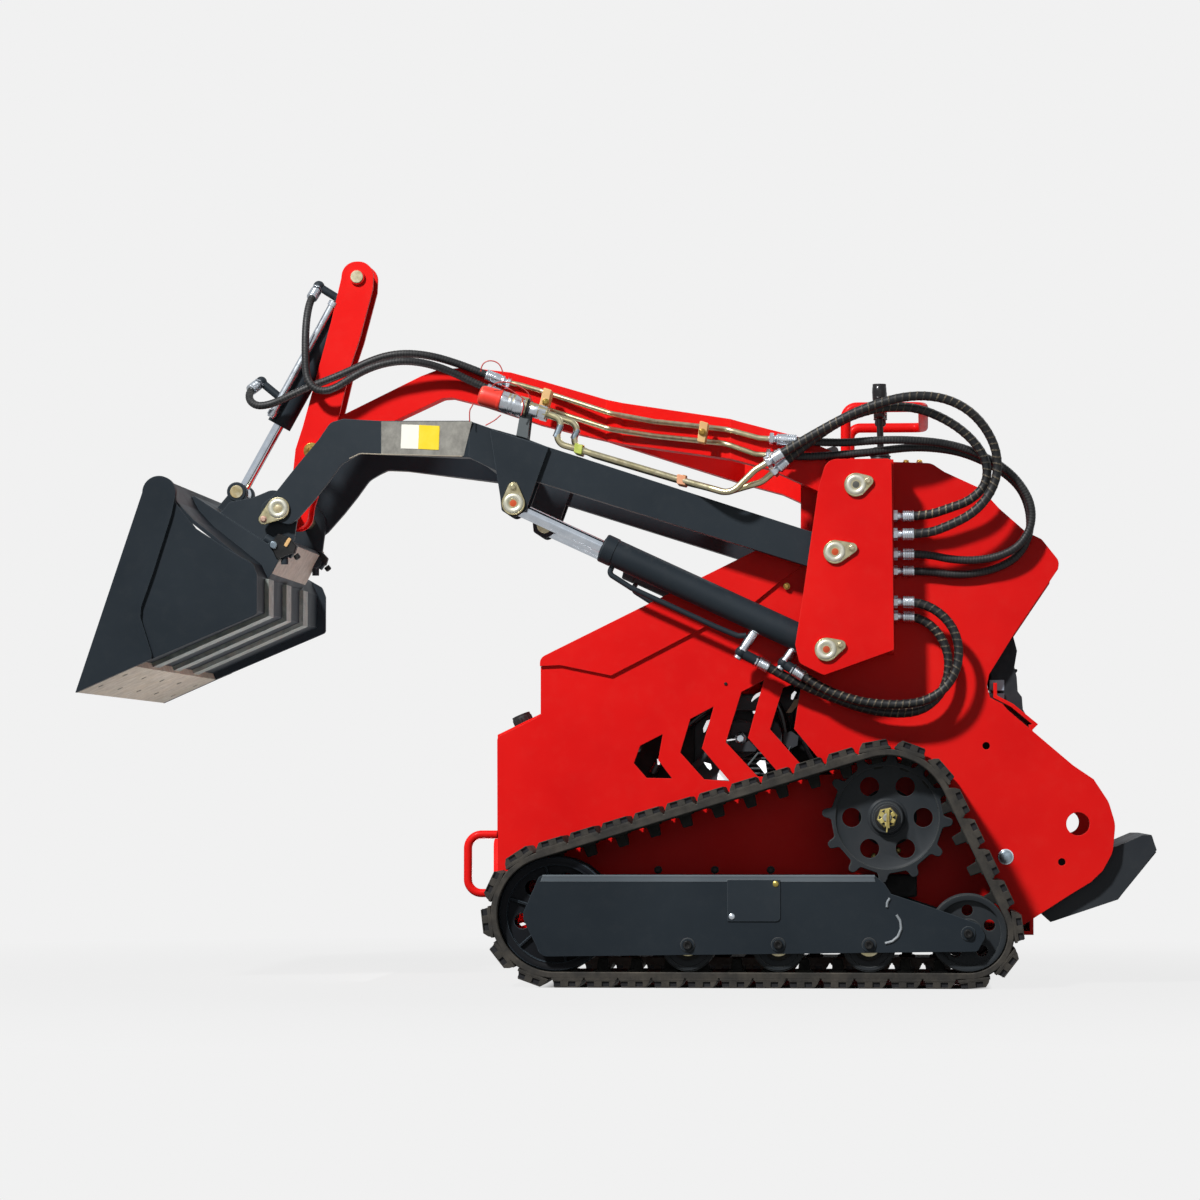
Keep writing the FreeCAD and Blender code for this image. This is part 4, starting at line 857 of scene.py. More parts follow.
def make_track(side):
    s = -1 if side == "left" else 1
    ms = Mesh("track_%s_tread" % side)
    # belt: a rounded flat section swept round the loop, with a moulded rib along each edge
    sect = [(338, -5), (340, -7), (344, -7), (347, -5.2), (509, -5.2), (512, -7), (516, -7), (518, -5), (518, 5), (516, 7), (340, 7), (338, 5)]
    ring = belt_places(MIDDLE, step=9.0, offset=0.0)
    verts, faces = [], []
    for x, z, a in ring:
        for y, o in sect:
            verts.append(R(x + math.cos(a) * o, s * y, max(0.0, z + math.sin(a) * o)))
    n, k = len(ring), len(sect)
    for i in range(n):
        for j in range(k):
            faces.append((i * k + j, i * k + (j + 1) % k, ((i + 1) % n) * k + (j + 1) % k, ((i + 1) % n) * k + j))
    ms.add(verts, faces, "track")
    h = BELT / 2
    for i, (x, z, a) in enumerate(TREAD_AT):
        nx, nz, tx, tz = math.cos(a), math.sin(a), -math.sin(a), math.cos(a)

        def at(al, out):
            return (x + tx * al + nx * out, max(0.0, z + tz * al + nz * out))

        def bar(pts, y0, y1, key, bev=1.2):
            extrude(ms, [at(*p) for p in pts], s * y0, s * y1, key, bevel=bev)

        # the tread block: a trapezoid across the belt, with square pockets moulded in its ends
        bar([(-33, h - 2), (35, h - 2), (34.6, h + 3.4), (-32.6, h + 3.4)], 338, 518, "track", 0.6)
        body = [(-30.5, h + 2), (33.5, h + 2), (31, h + 9.5), (23.5, h + TREAD), (-26.5, h + TREAD)]
        bar(body, 343.5, 512.5, "track", 1.2)
        for y0, y1 in ((338.2, 343.6), (512.4, 517.8)):
            bar([(-30.5, h + 2), (33.5, h + 2), (32.2, h + 6.2), (-29.6, h + 6.2)], y0, y1, "track", 0.4)
            bar([(-15, h + TREAD - 2.2), (25, h + TREAD - 2.2), (23.5, h + TREAD), (-26.5, h + TREAD), (-27, h + TREAD - 2.2)], y0, y1, "track", 0.4)
            bar([(18.5, h + 6), (32.2, h + 6), (31, h + 9.5), (25, h + TREAD - 2), (18.5, h + TREAD - 2)], y0, y1, "track", 0.4)
            bar([(-13.5, h + 6), (3, h + 6), (3, h + TREAD - 2), (-13.5, h + TREAD - 2)], y0, y1, "track", 0.4)
            # near-black plates at the pocket floors paint the shade inside the pockets
            inner = y0 + 3.8 if y0 < 400 else y0 + 0.4
            for a0, a1 in ((2.9, 18.6), (-28.2, -13.4)):
                bar([(a0, h + 6.1), (a1, h + 6.1), (a1, h + TREAD - 2.1), (a0, h + TREAD - 2.1)], inner, inner + 1.2, "pocket", 0.1)
        # drive lug: a narrow post with sloping flanks
        bar([(-14, -h + 2), (14, -h + 2), (12.5, -h - 5), (10.4, -h - 24), (8.6, -h - 26.5), (-8.6, -h - 26.5), (-10.4, -h - 24), (-12.5, -h - 5)], 406.5, 449.5, "lug", 1.6)
        # the two steel-cored guide ridges beside it
        for yy in (388, 460):
            bar([(-20, -h + 2), (20, -h + 2), (17, -h - 3), (-17, -h - 3)], yy, yy + 8, "lug", 1.2)
    o = ms.done("chassis", sharp=40)
    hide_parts("track_" + side)


make_track("left")
make_track("right")


# ------------------------------------------------------------------ drive sprockets
def make_sprocket(side):
    s = -1 if side == "left" else 1
    x, z = SPROCKET[0], SPROCKET[1]
    best = min(TREAD_AT, key=lambda p: math.hypot(p[0] - x, p[1] - z) if p[2] > 0.5 else 1e9)
    lug = math.atan2(best[1] - z, best[0] - x)

    def gear(ms):
        pts = []
        for i in range(12):
            a = lug + (i + 0.5) * math.pi / 6
            n, t = (math.cos(a), math.sin(a)), (-math.sin(a), math.cos(a))
            prof = [(-20, 117.4), (-14, 119), (-11, 123.5), (-9.8, 131), (-7.2, 136.6), (-3.4, 139.2), (3.4, 139.2), (7.2, 136.6), (9.8, 131), (11, 123.5), (14, 119), (20, 117.4)]
            for k, o in prof:
                pts.append((x + n[0] * o + t[0] * k, z + n[1] * o + t[1] * k))
        extrude(ms, pts, s * 406, s * 450, "dark2", bevel=1.5)

    o = plain("sprocket_%s" % side, gear)
    cut = []

    def ring_cut(ms):
        lathe(ms, R(x, s * 452, z), (0, -s, 0), [(0, 47), (0, 101.5), (7.5, 100), (9.0, 97), (9.0, 50), (7.0, 47.5), (0, 46)], "dark2", 72)
    cut.append(plain("c", lambda ms: lathe(ms, R(x, s * 452, z), (0, -s, 0), [(0, 111), (5.5, 109), (8.5, 104)], "dark2", 72)))
    for i in range(6):
        a = math.radians(60 * i)
        cut.append(plain("c", lambda ms, a=a: lathe(ms, R(x + 76 * math.cos(a), s * 456, z + 76 * math.sin(a)), (0, -s, 0), [(0, 20.5), (60, 20.5)], "dark2", 28)))
    carve(o, cut)
    # raised hub on the sprocket's face
    ms = Mesh("sprocket_%s_hub" % side)
    lathe(ms, R(x, s * 441, z), (0, s, 0), [(0, 46), (2.0, 44), (5, 38), (11, 35), (19, 34), (21, 32), (21, 0)], "dark2", 40)
    # castle nut with its cotter, and washer
    lathe(ms, R(x, s * 462, z), (0, s, 0), [(0, 27), (2.6, 27), (3.0, 26), (3.0, 0)], "blacksteel", 32)
    prism(ms, R(x, s * 465, z), (0, s, 0), 22.5, 9, 6, "nut", 0.2, chamfer=1.6)
    for i in range(6):
        a = math.radians(60 * i + 30)
        c, d = math.cos(a), math.sin(a)
        q = [(x + c * 9 - d * 5.6, z + d * 9 + c * 5.6), (x + c * 18.5 - d * 5.0, z + d * 18.5 + c * 5.0),
             (x + c * 18.5 + d * 5.0, z + d * 18.5 - c * 5.0), (x + c * 9 + d * 5.6, z + d * 9 - c * 5.6)]
        extrude(ms, q, s * 473.5, s * 481, "nut", bevel=0.8)
    lathe(ms, R(x, s * 470, z), (0, s, 0), [(0, 9.4), (12, 9.4), (13.5, 7.6), (13.5, 3), (12.5, 0)], "pindark", 24)
    sweep(ms, [R(x, s * 484.4, z + 15), R(x + 0.6, s * 485.6, z + 6), R(x - 0.3, s * 485.8, z - 6), R(x, s * 485.2, z - 17), R(x - 1, s * 483.6, z - 31)], 1.9, "nut", seg=8)
    sweep(ms, [R(x + 3, s * 484.4, z + 15), R(x + 3.4, s * 485.6, z + 4), R(x + 3.0, s * 485.8, z - 8), R(x + 3.6, s * 484.6, z - 22)], 1.7, "nut", seg=8)
    hub = ms.done("chassis")
    shade(o)
    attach(o, "chassis")
    # motor flange ring with its bolts, and two domed bolts
    ms = Mesh("motor_%s_flange" % side)
    lathe(ms, R(x, s * 373, z), (0, s, 0), [(0, 60), (6, 60), (8, 57), (8, 30)], "dark2", 40, caps=False)
    for i in range(8):
        a = math.radians(22.5 + 45 * i)
        bolt(ms, R(x + 50 * math.cos(a), s * 381, z + 50 * math.sin(a)), (0, s, 0), 6.5, "brass", washer=False)
    for bx, bz in ((542.5, 276.9), (594.1, 289.2)):
        dome(ms, R(bx, s * 381, bz), (0, s, 0), 6.5, 5.0, "nut")
    # bracket below the motor, in the near-black that paints the shade there
    box_mesh(ms, (549, min(s * 352, s * 400), 190), (634, max(s * 352, s * 400), 238), "inside", 3)
    f = ms.done("chassis")
    return o, hub


sp = [make_sprocket("left"), make_sprocket("right")]
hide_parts("drive_sprockets")

# ------------------------------------------------------------------ wheels and track frames
for side in ("left", "right"):
    s = -1 if side == "left" else 1
    ms = Mesh("wheel_trim_" + side)
    x, z, r = IDLER
    # front idler: turned rim, hub ring and six web ribs
    lathe(ms, R(x, s * 484, z), (0, s, 0), [(0, r - 1.0), (1.6, r - 2.4), (1.8, r - 8), (0.6, r - 12), (0, r - 14)], "idler", 72, caps=False)
    lathe(ms, R(x, s * 472, z), (0, s, 0), [(0, 42), (7, 41), (12.5, 37), (13.5, 33), (13.5, 20)], "idler", 36, caps=False)
    for i in range(6):
        a = math.radians(42 + 60 * i)
        c, d = math.cos(a), math.sin(a)
        q = [(x + c * 38 - d * 3.5, z + d * 38 + c * 3.5), (x + c * 104 - d * 3, z + d * 104 + c * 3), (x + c * 104 + d * 3, z + d * 104 - c * 3), (x + c * 38 + d * 3.5, z + d * 38 - c * 3.5)]
        extrude(ms, q, s * 470, s * 480, "idler", bevel=1.2)
    x, z, r = REAR
    lathe(ms, R(x, s * 480, z), (0, s, 0), [(0, r - 1.0), (1.6, r - 2.2), (1.8, r - 7), (0.4, r - 11), (0, r - 13)], "dark2", 60, caps=False)
    lathe(ms, R(x, s * 468, z), (0, s, 0), [(0, 30), (8, 29), (11, 25), (11, 16)], "dark2", 32, caps=False)
    for rx in (149.0, 341.0, 533.0):
        zz = 90.4
        lathe(ms, R(rx, s * 482, zz), (0, s, 0), [(0, 55.5), (1.6, 54), (1.6, 47), (-4, 43), (-6, 36), (-6, 16)], "dark2", 48, caps=False)
        lathe(ms, R(rx, s * 484.5, zz), (0, s, 0), [(0, 33), (7.5, 33), (9, 31.5), (9, 16)], "lug", 32, caps=False)
        lathe(ms, R(rx, s * 494, zz), (0, s, 0), [(0, 24), (3, 24), (3, 15)], "zinc", 28, caps=False)
    o = ms.done("chassis")

    ms = Mesh("frame_trim_" + side)
    # cover plate with rounded corners on two domed bolts, and the roller bolts
    cover = rounded([(233, 229), (346, 229), (346, 140), (233, 140)], [3, 3, 9, 3], 4)
    extrude(ms, cover, s * 508, s * 510.6, "dark", bevel=0.9)
    for bx, bz, key in ((336, 220, "brass"), (243, 151, "silver")):
        dome(ms, R(bx, s * 510.4, bz), (0, s, 0), 6.6, 3.4, key)
    for rx, rz, big in ((149, 90.4, 1.0), (341, 92, 1.0), (533, 92, 1.0), (742, 116, 1.0)):
        lathe(ms, R(rx, s * 508, rz), (0, s, 0), [(0, 15.5), (1.6, 15.5), (2.2, 14.6), (2.2, 0)], "dark2", 26)
        bolt(ms, R(rx, s * 510, rz), (0, s, 0), 9.6, "blacksteel", washer=False, h=7.5, socket=True)
    # the weld bead round the C-shaped plug in the plate
    for pts in (((577, 190), (571.5, 181), (571, 171)), ((591, 155), (599, 143), (601, 126), (594, 109), (582, 99), (567, 95))):
        line, _ = resample([R(px, s * 508.6, pz) for px, pz in pts], 0.004)
        sweep(ms, line, 2.9, "bead", seg=8)
    # folded edge along the top, and a strip below it
    # both are in the paler lip grey, a painted highlight along the frame's top fold
    for q in (((-160, 236.5), (546, 237)),):
        sweep(ms, [R(q[0][0], s * 505.6, q[0][1] - 1.2), R(q[1][0], s * 505.6, q[1][1] - 1.2)], 3.4, "lip", seg=12)
    extrude(ms, [(-159, 236.6), (544, 237.2), (547, 224), (-165, 223.4)], s * 507.6, s * 508.7, "lip", bevel=0.4)
    o = ms.done("chassis")


# ------------------------------------------------------------------ pins, keepers and bolts
def teardrop(x0, z0, r0, x1, z1, r1, steps=22):
    """Outline round two circles."""
    d = math.hypot(x1 - x0, z1 - z0)
    base, k = math.atan2(z1 - z0, x1 - x0), math.acos((r0 - r1) / d)
    pts = []
    for i in range(steps + 1):
        a = base + k + (2 * math.pi - 2 * k) * i / steps
        pts.append((x0 + r0 * math.cos(a), z0 + r0 * math.sin(a)))
    for i in range(9):
        a = base - k + 2 * k * i / 8
        pts.append((x1 + r1 * math.cos(a), z1 + r1 * math.sin(a)))
    return pts


def keeper(ms, c, b, y, s, r0=25.0, r1=11.0, core="pincore", tip="zinc"):
    """Pin head with its welded flag: chamfered flag, raised ring, greased recess, and a bolt."""
    flag = teardrop(c[0], c[1], r0 + 0.4, b[0], b[1], r1 + 0.4)
    extrude(ms, flag, s * (y - 0.6), s * (y + 1.2), "zinc", bevel=1.1)
    lathe(ms, R(c[0], s * (y + 1.1), c[1]), (0, s, 0), [(0, r0 - 3), (2.4, r0 - 5.5), (3.2, r0 - 8), (2.6, r0 - 12), (0.9, r0 - 14), (0.5, r0 - 15)], "pinring", 40)
    lathe(ms, R(c[0], s * (y + 0.9), c[1]), (0, s, 0), [(0, r0 - 14), (0.5, r0 - 15.5), (1.6, r0 - 19), (1.9, 0)], core, 28)
    bolt(ms, R(b[0], s * (y + 1.1), b[1]), (0, s, 0), 5.2, tip, washer=True, h=4.0, phase=0.5)


for side in ("left", "right"):
    s = -1 if side == "left" else 1
    ms = Mesh("tower_pin_trim_" + side)
    keeper(ms, (462, 928), (498, 936), 434, s)
    keeper(ms, (507, 1072), (533, 1080), 434, s, core="pindark")
    keeper(ms, (443, 719), (473, 728), 434, s)
    ms.done("chassis")
    ms = Mesh("lift_pin_trim_" + side)
    keeper(ms, (-232, 1037), (-232, 1072), 417, s)
    ms.done("boom")
    ms = Mesh("front_pin_trim_" + side)
    keeper(ms, (-770, 1040), (-802, 1016), 252, s, r0=25.0, core="pincream", tip="pinkbolt")
    ms.done("boom")

ms = Mesh("lever_pin_trim")
for s in (-1, 1):
    lathe(ms, R(-623.5, s * 49.4, 1577.5), (0, s, 0), [(0, 14.2), (2.2, 14.2), (3.0, 13.4), (3.0, 0)], "pincream", 36)
    lathe(ms, R(-725, s * 49.4, 1184), (0, s, 0), [(0, 18.4), (1.6, 18.4), (2.4, 17.4), (2.4, 9), (1.2, 8), (1.2, 0)], "brass", 32)
ms.done("lever")
ms = Mesh("tilt_eye_trim")
for s in (-1, 1):
    lathe(ms, R(-893.5, s * 64, 1091), (0, s, 0), [(0, 21), (1.4, 21), (2.0, 20.2), (2.0, 15)], "dark", 36, caps=False)
    lathe(ms, R(-893.5, s * 64, 1091), (0, s, 0), [(0, 14.6), (2.6, 14.6), (3.4, 13.6), (3.4, 0)], "pincream", 32)
ms.done("bucket")

# ------------------------------------------------------------------ chassis bolts and small fixings
ms = Mesh("chassis_bolts")
for s in (-1, 1):
    dome(ms, R(825, s * 322, 275), (0, s, 0), 15, 5.0, "ubend", 28)
    # near-black disc behind the hole in the side plate, painting the shade inside it
    lathe(ms, R(782.9, s * 298, 512.1), (0, s, 0), [(0, 14), (1.5, 14), (1.6, 0)], "inside", 24)
    lathe(ms, R(825, s * 321.6, 275), (0, s, 0), [(0, 17), (1.4, 17), (1.8, 16), (1.8, 12)], "silver", 28)
    for bx in (75, 198, 319):
        bolt(ms, R(bx, s * 322, 246), (0, s, 0), 6.0, "blacksteel", h=5)
    bolt(ms, R(222, s * 322, 649), (0, s, 0), 3.4, "blacksteel", washer=False, h=2.4)
    bolt(ms, R(355, s * 329, 860), (0, s, 0), 5.0, "brass", h=4)
    for bx in (613.5, 642.5):
        bolt(ms, R(bx, s * 296, 1129.6), (0.04, 0, 1), 5.0, "brass", h=4)
    for bx, bz in ((400, 720), (480, 690), (560, 728)):
        bolt(ms, R(bx, s * 322, bz), (0, s, 0), 6.0, "blacksteel", h=4.5)
ms.done("chassis")

# ------------------------------------------------------------------ hose ends
FIT_OF = {"chassis": "chassis", "boom": "boom", "level_link": "level_link"}


def ferrule(ms, at, d, length, key="silver", back=24.0):
    """Crimped sleeve over a hose, then a hexagon nut; at is the hose's end, d points off the hose."""
    d = Vector(d).normalized()
    a = at - d * (back / 1000)
    prof = [(0, 10.4), (0.6, 12.2), (3, 12.9)]
    for k in range(4):
        q = 5 + k * 4.4
        prof += [(q, 12.9), (q + 0.8, 12.1), (q + 1.8, 12.1), (q + 2.6, 12.9)]
    if back > 24:
        prof += [(back - 6, 12.7), (back - 5, 11.6)]
    prof += [(back, 12.9), (back + 1.5, 11.2), (back + 4, 8.6), (back + 6, 8.2)]
    lathe(ms, a, d, prof, key, 26)
    lathe(ms, a, d, [(back + 4, 8.2), (back + length, 8.2)], key, 20)
    prism(ms, a + d * ((back + length * 0.45) / 1000), d, 13.4, min(13.0, length * 0.5), 6, key, 0.4, chamfer=1.4)


ends = {"chassis": Mesh("hose_ends_tower"), "boom": Mesh("hose_ends_boom"), "level_link": Mesh("hose_ends_link"),
        "lift_barrel_left": Mesh("hose_ends_lift_left"), "lift_barrel_right": Mesh("hose_ends_lift_right"), "tilt_barrel": Mesh("hose_ends_tilt")}
for piece, route, flip, far, near, real in HOSES:
    line = LINES[piece]
    if far == "chassis":
        ferrule(ends["chassis"], line[-1], line[-1] - line[-4], 26)
        who = near
    else:
        ferrule(ends["tilt_barrel"], line[-1], line[-1] - line[-4], 10)
        who = "level_link"
    ferrule(ends[who], line[0], line[0] - line[3], 18 if who in ("boom", "level_link") else 8, back=42.0 if who == "level_link" else 24.0)
for who, ms in ends.items():
    o = ms.done(who)
    if who == "chassis":
        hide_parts("hose_fittings")

# ports on the cylinders: bright posts with ball ends
for side in ("left", "right"):
    s = -1 if side == "left" else 1
    ms = Mesh("lift_ports_" + side)
    for post, ball in (((289.5, -373, 763.6), (257.4, -376.3, 714.9)), ((373.0, -373, 725.0), (349.2, -375.4, 691.3))):
        a, b = R(post[0], -s * post[1], post[2]), R(ball[0], -s * ball[1], ball[2])
        d = (b - a).normalized()
        L = (b - a).length * 1000
        lathe(ms, a, d, [(2, 12.5), (6, 12.5), (7.5, 10.4), (L - 10, 10.4), (L - 8, 11.6), (L - 2, 11.6), (L, 10)], "silver", 24)
        lathe(ms, b - d * 0.0126, d, [(0, 4)] + [(12.6 - 12.6 * math.cos(t), 12.6 * math.sin(t)) for t in np.linspace(0.35, 2.9, 12)] + [(25.1, 0)], "silver", 24)
        lathe(ms, b + d * 0.010, d, [(0, 9), (5, 9), (6.5, 7.4), (6.5, 0)], "silver", 20)
    # gland at the mouth of the barrel, wiper and the hard line's bosses
    u = Vector((-0.90745, 0, 0.42015))
    c = R(443, s * 373, 719)
    lathe(ms, c + u * 0.505, u, [(0, 30.6), (1, 31.6), (26, 31.6), (28.5, 30), (28.5, 22)], "dark", 40)
    lathe(ms, c + u * 0.5333, u, [(0, 22), (2.2, 21), (3.0, 17), (3.0, 15.2)], "blacksteel", 32)
    lathe(ms, c + u * 0.044, u, [(0, 25), (3, 29), (6, 31), (9, 31.4), (13, 30.4)], "dark", 40)
    ms.done("lift_barrel_" + side)

# ------------------------------------------------------------------ couplers, clamps and tether wires on the boom
ms = Mesh("coupler_trim")
for y in (-358, -400):
    a, b = R(-161, y, 1232), R(-303, y, 1274)
    d = (b - a).normalized()
    prism(ms, a + d * 0.002, d, 15.4, 17, 6, "silver", 0.2, chamfer=1.5)
    lathe(ms, a + d * 0.019, d, [(0, 12), (1, 14.2), (20, 14.2), (22, 13)], "silver", 30)
    lathe(ms, a + d * 0.0405, d, [(0, 13), (0.8, 20.6), (4, 20.6), (5, 17.4), (7.5, 17.4), (8.5, 20.9)], "blacksteel", 40)
    prof = [(0, 20.0)]
    for k in range(2):
        q = k * 29
        prof += [(q + 0.8, 21.4), (q + 4, 21.6), (q + 6, 20.4), (q + 9, 20.4), (q + 11, 21.6), (q + 24, 21.6), (q + 26, 20.2), (q + 28, 20.2)]
    lathe(ms, a + d * 0.049, d, prof + [(59, 20.6), (60, 17)], "silver", 44)
    # dust cap: a short cone with a rolled lip
    lathe(ms, a + d * 0.103, d, [(0, 21.0), (1, 22.8), (6, 22.8), (7, 21.9), (38, 21.7), (44, 20.9), (48, 18.4), (50, 14), (50.6, 0)], "redcap", 40)
    extrude(ms, [(-227, 1185), (-214.4, 1181.6), (-202, 1177.4), (-195.2, 1236), (-216.8, 1242)], y - 4.7, y + 4.7, "bar", bevel=0.4)
    bend = [(-92, y, 1212), (-112, y, 1169)] if y == -358 else [(-126, y, 1219), (-146, y, 1169.5)]
    line, _ = resample([R(*k) for k in [bend[0], bend[1]]], 0.004)
    sweep(ms, line[3:-3], 7.35, "ubend", seg=18)
ms.done("boom")

ms = Mesh("tether_wires")


def wire(pts, r=1.1):
    """A thin loop of wire along a smooth curve through control points (layout mm)."""
    sweep(ms, nurbs_line("wire", pts), r, "tether", seg=8)


wire([(-301.6, -424, 1322), (-301.6, -424, 1331.1), (-295.1, -424, 1341.9), (-282.1, -424, 1346.6), (-266.9, -424, 1342.8), (-257.1, -424, 1331.8), (-253.8, -424, 1318)], 1.3)
wire([(-278, -423, 1288), (-274, -424, 1295.1), (-260.3, -427, 1299.3), (-242.9, -428, 1298.5), (-223.4, -428, 1292.5), (-201.7, -427, 1279.4), (-194.3, -425, 1266.3), (-192.1, -422, 1256)], 1.3)
wire([(-256, -425, 1292), (-242.9, -427, 1286.2), (-223.4, -427, 1273), (-206, -426, 1259.9)], 1.3)
wire([(-212.5, -424, 1262), (-208.6, -426, 1249.1), (-210, -425, 1238), (-214.7, -423, 1226.4)], 1.3)
wire([(-318, -424, 1254), (-321, -424, 1247), (-327.5, -424, 1237), (-326, -422, 1214)], 1.3)
wire([(-258, -424, 1228), (-262.4, -424, 1224.6), (-271.7, -423, 1215.8), (-292, -420, 1206)], 1.3)
ms.done("boom")

ms = Mesh("boom_clamps")
for q, key in (([(-99.3, 1167.8), (-82, 1162.3), (-84.1, 1141), (-101.5, 1146.5)], "green"), ([(121.4, 1099.3), (140.8, 1094.9), (140.8, 1073), (121.3, 1077.5)], "salmon")):
    extrude(ms, rounded(q, 3, 3), -412, -346, key, bevel=1.5)
    bolt(ms, R(q[1][0] - 5, -379, q[1][1] - 2), (0.28, 0, 0.96), 5, "brass", h=4)
ms.done("boom")

ms = Mesh("link_clamps")
extrude(ms, rounded([(-193.3, 1316.8), (-175.1, 1310.8), (-186.5, 1265.3), (-206, 1269.9)], 3, 3), -118, -62, "clamp", bevel=1.5)
bolt(ms, R(-189, -118, 1284), (0, -1, 0), 5.5, "brass", h=4)
extrude(ms, rounded([(172, 1213.3), (190.3, 1207.8), (182.7, 1163.6), (165.5, 1168)], 3, 3), -420, -378, "clamp", bevel=1.5)
bolt(ms, R(177, -420, 1188), (0, -1, 0), 5.5, "brass", h=4)
ms.done("level_link")

# silver tube with its end fittings along the tilt cylinder's near side, drawn as a hard line: it paints the bright
# highlight of the barrel
ms = Mesh("tilt_highlight_line")
T_, E_ = Vector((-623.5, 0, 1577.5)), Vector((-893.5, 0, 1091))
d_ = (E_ - T_).normalized()
o_ = Vector((d_.z, 0, -d_.x))
o_ = -o_ if o_.x > 0 else o_


def on_line(s_, off=20.0, y=-37.0):
    k = T_ + d_ * s_ + o_ * off
    return R(k.x, y, k.z)


sweep(ms, [on_line(75), on_line(372)], 8.3, "silver", seg=20)
for s_ in (80, 362):
    lathe(ms, on_line(s_ - 6), on_line(s_ + 6) - on_line(s_ - 6), [(0, 8.3), (0.6, 11), (11.4, 11), (12, 8.3)], "silver", 24, caps=False)
ms.done("tilt_barrel")

# ------------------------------------------------------------------ sheared lower edges and seams of the boom
ms = Mesh("boom_edges")
for s in (-1, 1):
    line, _ = resample([R(*k) for k in ((-541, s * 246.6, 1158.8), (-588, s * 246.6, 1161.0), (-612, s * 246.6, 1150))], 0.006)
    sweep(ms, line, 1.3, "seamlip", seg=8)
    line, _ = resample([on for on in (R(-541, s * 247.2, 1159.0), R(-345, s * 390.0, 1141.6))], 0.01)
    sweep(ms, line, 1.5, "seamlip", seg=8)
ms.done("boom")

# ------------------------------------------------------------------ blank stickers and plates
ms = Mesh("blank_labels")
OUT = Vector((-0.5884, -0.8086, 0.0))


def sticker(q, key, lift=0.9, back=0.0):
    p = [R(*k) + OUT * (back / 1000) for k in q]
    v = p + [k + OUT * (lift / 1000) for k in p]
    n = len(q)
    ms.add(v, [tuple(range(n)), tuple(range(n, 2 * n))[::-1]] + [(k, (k + 1) % n, n + (k + 1) % n, n + k) for k in range(n)], key)


def on_face(x, z):
    """A point of the arm's angled face."""
    return (x, -401 + (x + 330) * 0.5884 / -0.8086, z)


sticker([(-490.7, -284.0, 1221.1), (-448.3, -314.9, 1217.0), (-450.6, -313.2, 1164.5), (-493.0, -282.4, 1168.4)], "label", 1.0, 0.4)
sticker([(-448.3, -314.9, 1217.0), (-399.0, -350.8, 1211.4), (-401.3, -349.1, 1159.1), (-450.6, -313.2, 1164.5)], "labely", 1.0, 0.4)
# paler brushed overlay on the arm's angled face, painting the sky's sheen reflected there
sticker([on_face(-541, 1231.5), on_face(-322.5, 1216.0), on_face(-342.5, 1142.5), on_face(-541, 1159.6)], "sheen_overlay", 0.4)
ms.done("boom")

# ------------------------------------------------------------------ controls
ms = Mesh("control_trim")
for y in (-100, 100):
    prof = [(0, 31), (1.5, 33)]
    for k in range(6):
        q, r = 3 + k * 8.2, 30.5 - k * 2.9
        prof += [(q, r - 3.5), (q + 3.2, r + 1.5), (q + 5.4, r + 1.2), (q + 7.6, r - 4.2)]
    lathe(ms, R(556, y, 1127), (0, 0, 1), prof + [(53, 9), (54, 6.5)], "gloss", 36)
    lathe(ms, R(555.5, y, 1176), (-0.02, 0, 1), [(0, 6.6), (72, 6.6)], "blacksteel", 18)
    lathe(ms, R(554, y, 1243), (0, 0, 1), [(0, 9), (2, 11.5), (6, 13), (16, 12.4), (30, 14.2), (46, 15.4), (60, 16.2), (70, 15.6), (75, 12.6), (77, 7), (77.4, 0)], "gloss", 30)
    for k in range(4):
        lathe(ms, R(554, y, 1258 + k * 10), (0, 0, 1), [(0, 14.6), (1.4, 15.9), (2.8, 14.8)], "gloss", 30)
o = ms.done("chassis")
ms = Mesh("filler_cap_trim")
axis = Vector((-0.39, 0, 0.92)).normalized()
c0 = R(-222, -200, 551)
lathe(ms, c0 + axis * 0.012, axis, [(0, 20.3), (2, 21.2), (18, 21.2), (22, 20), (24.6, 17), (25.0, 11), (23, 9.5), (23, 0)], "black", 44)
u_, w_ = basis(axis)
for k in range(18):
    a = 2 * math.pi * k / 18
    r_ = (u_ * math.cos(a) + w_ * math.sin(a))
    p = c0 + axis * 0.015 + r_ * 0.0211
    sweep(ms, [p, p + axis * 0.0145], 1.2, "black", seg=6)
ms.done("chassis")

# ------------------------------------------------------------------ bucket and attachment plate
ms = Mesh("bucket_bolts")
e0, e1 = Vector((-1163, 0, 627.9)), Vector((-1037, 0, 683.5))
along = (e1 - e0).normalized()
down = Vector((along.z, 0, -along.x))
for q in (40, 98):
    for y in (-440, -220, 0, 220, 440):
        p = e0 + along * q
        c = R(p.x, y, p.z)
        lathe(ms, c - down * 0.001, down, [(0, 6.4), (1.6, 6.4), (2.0, 5.8), (2.0, 0)], "pindark", 18)
ms.done("bucket")

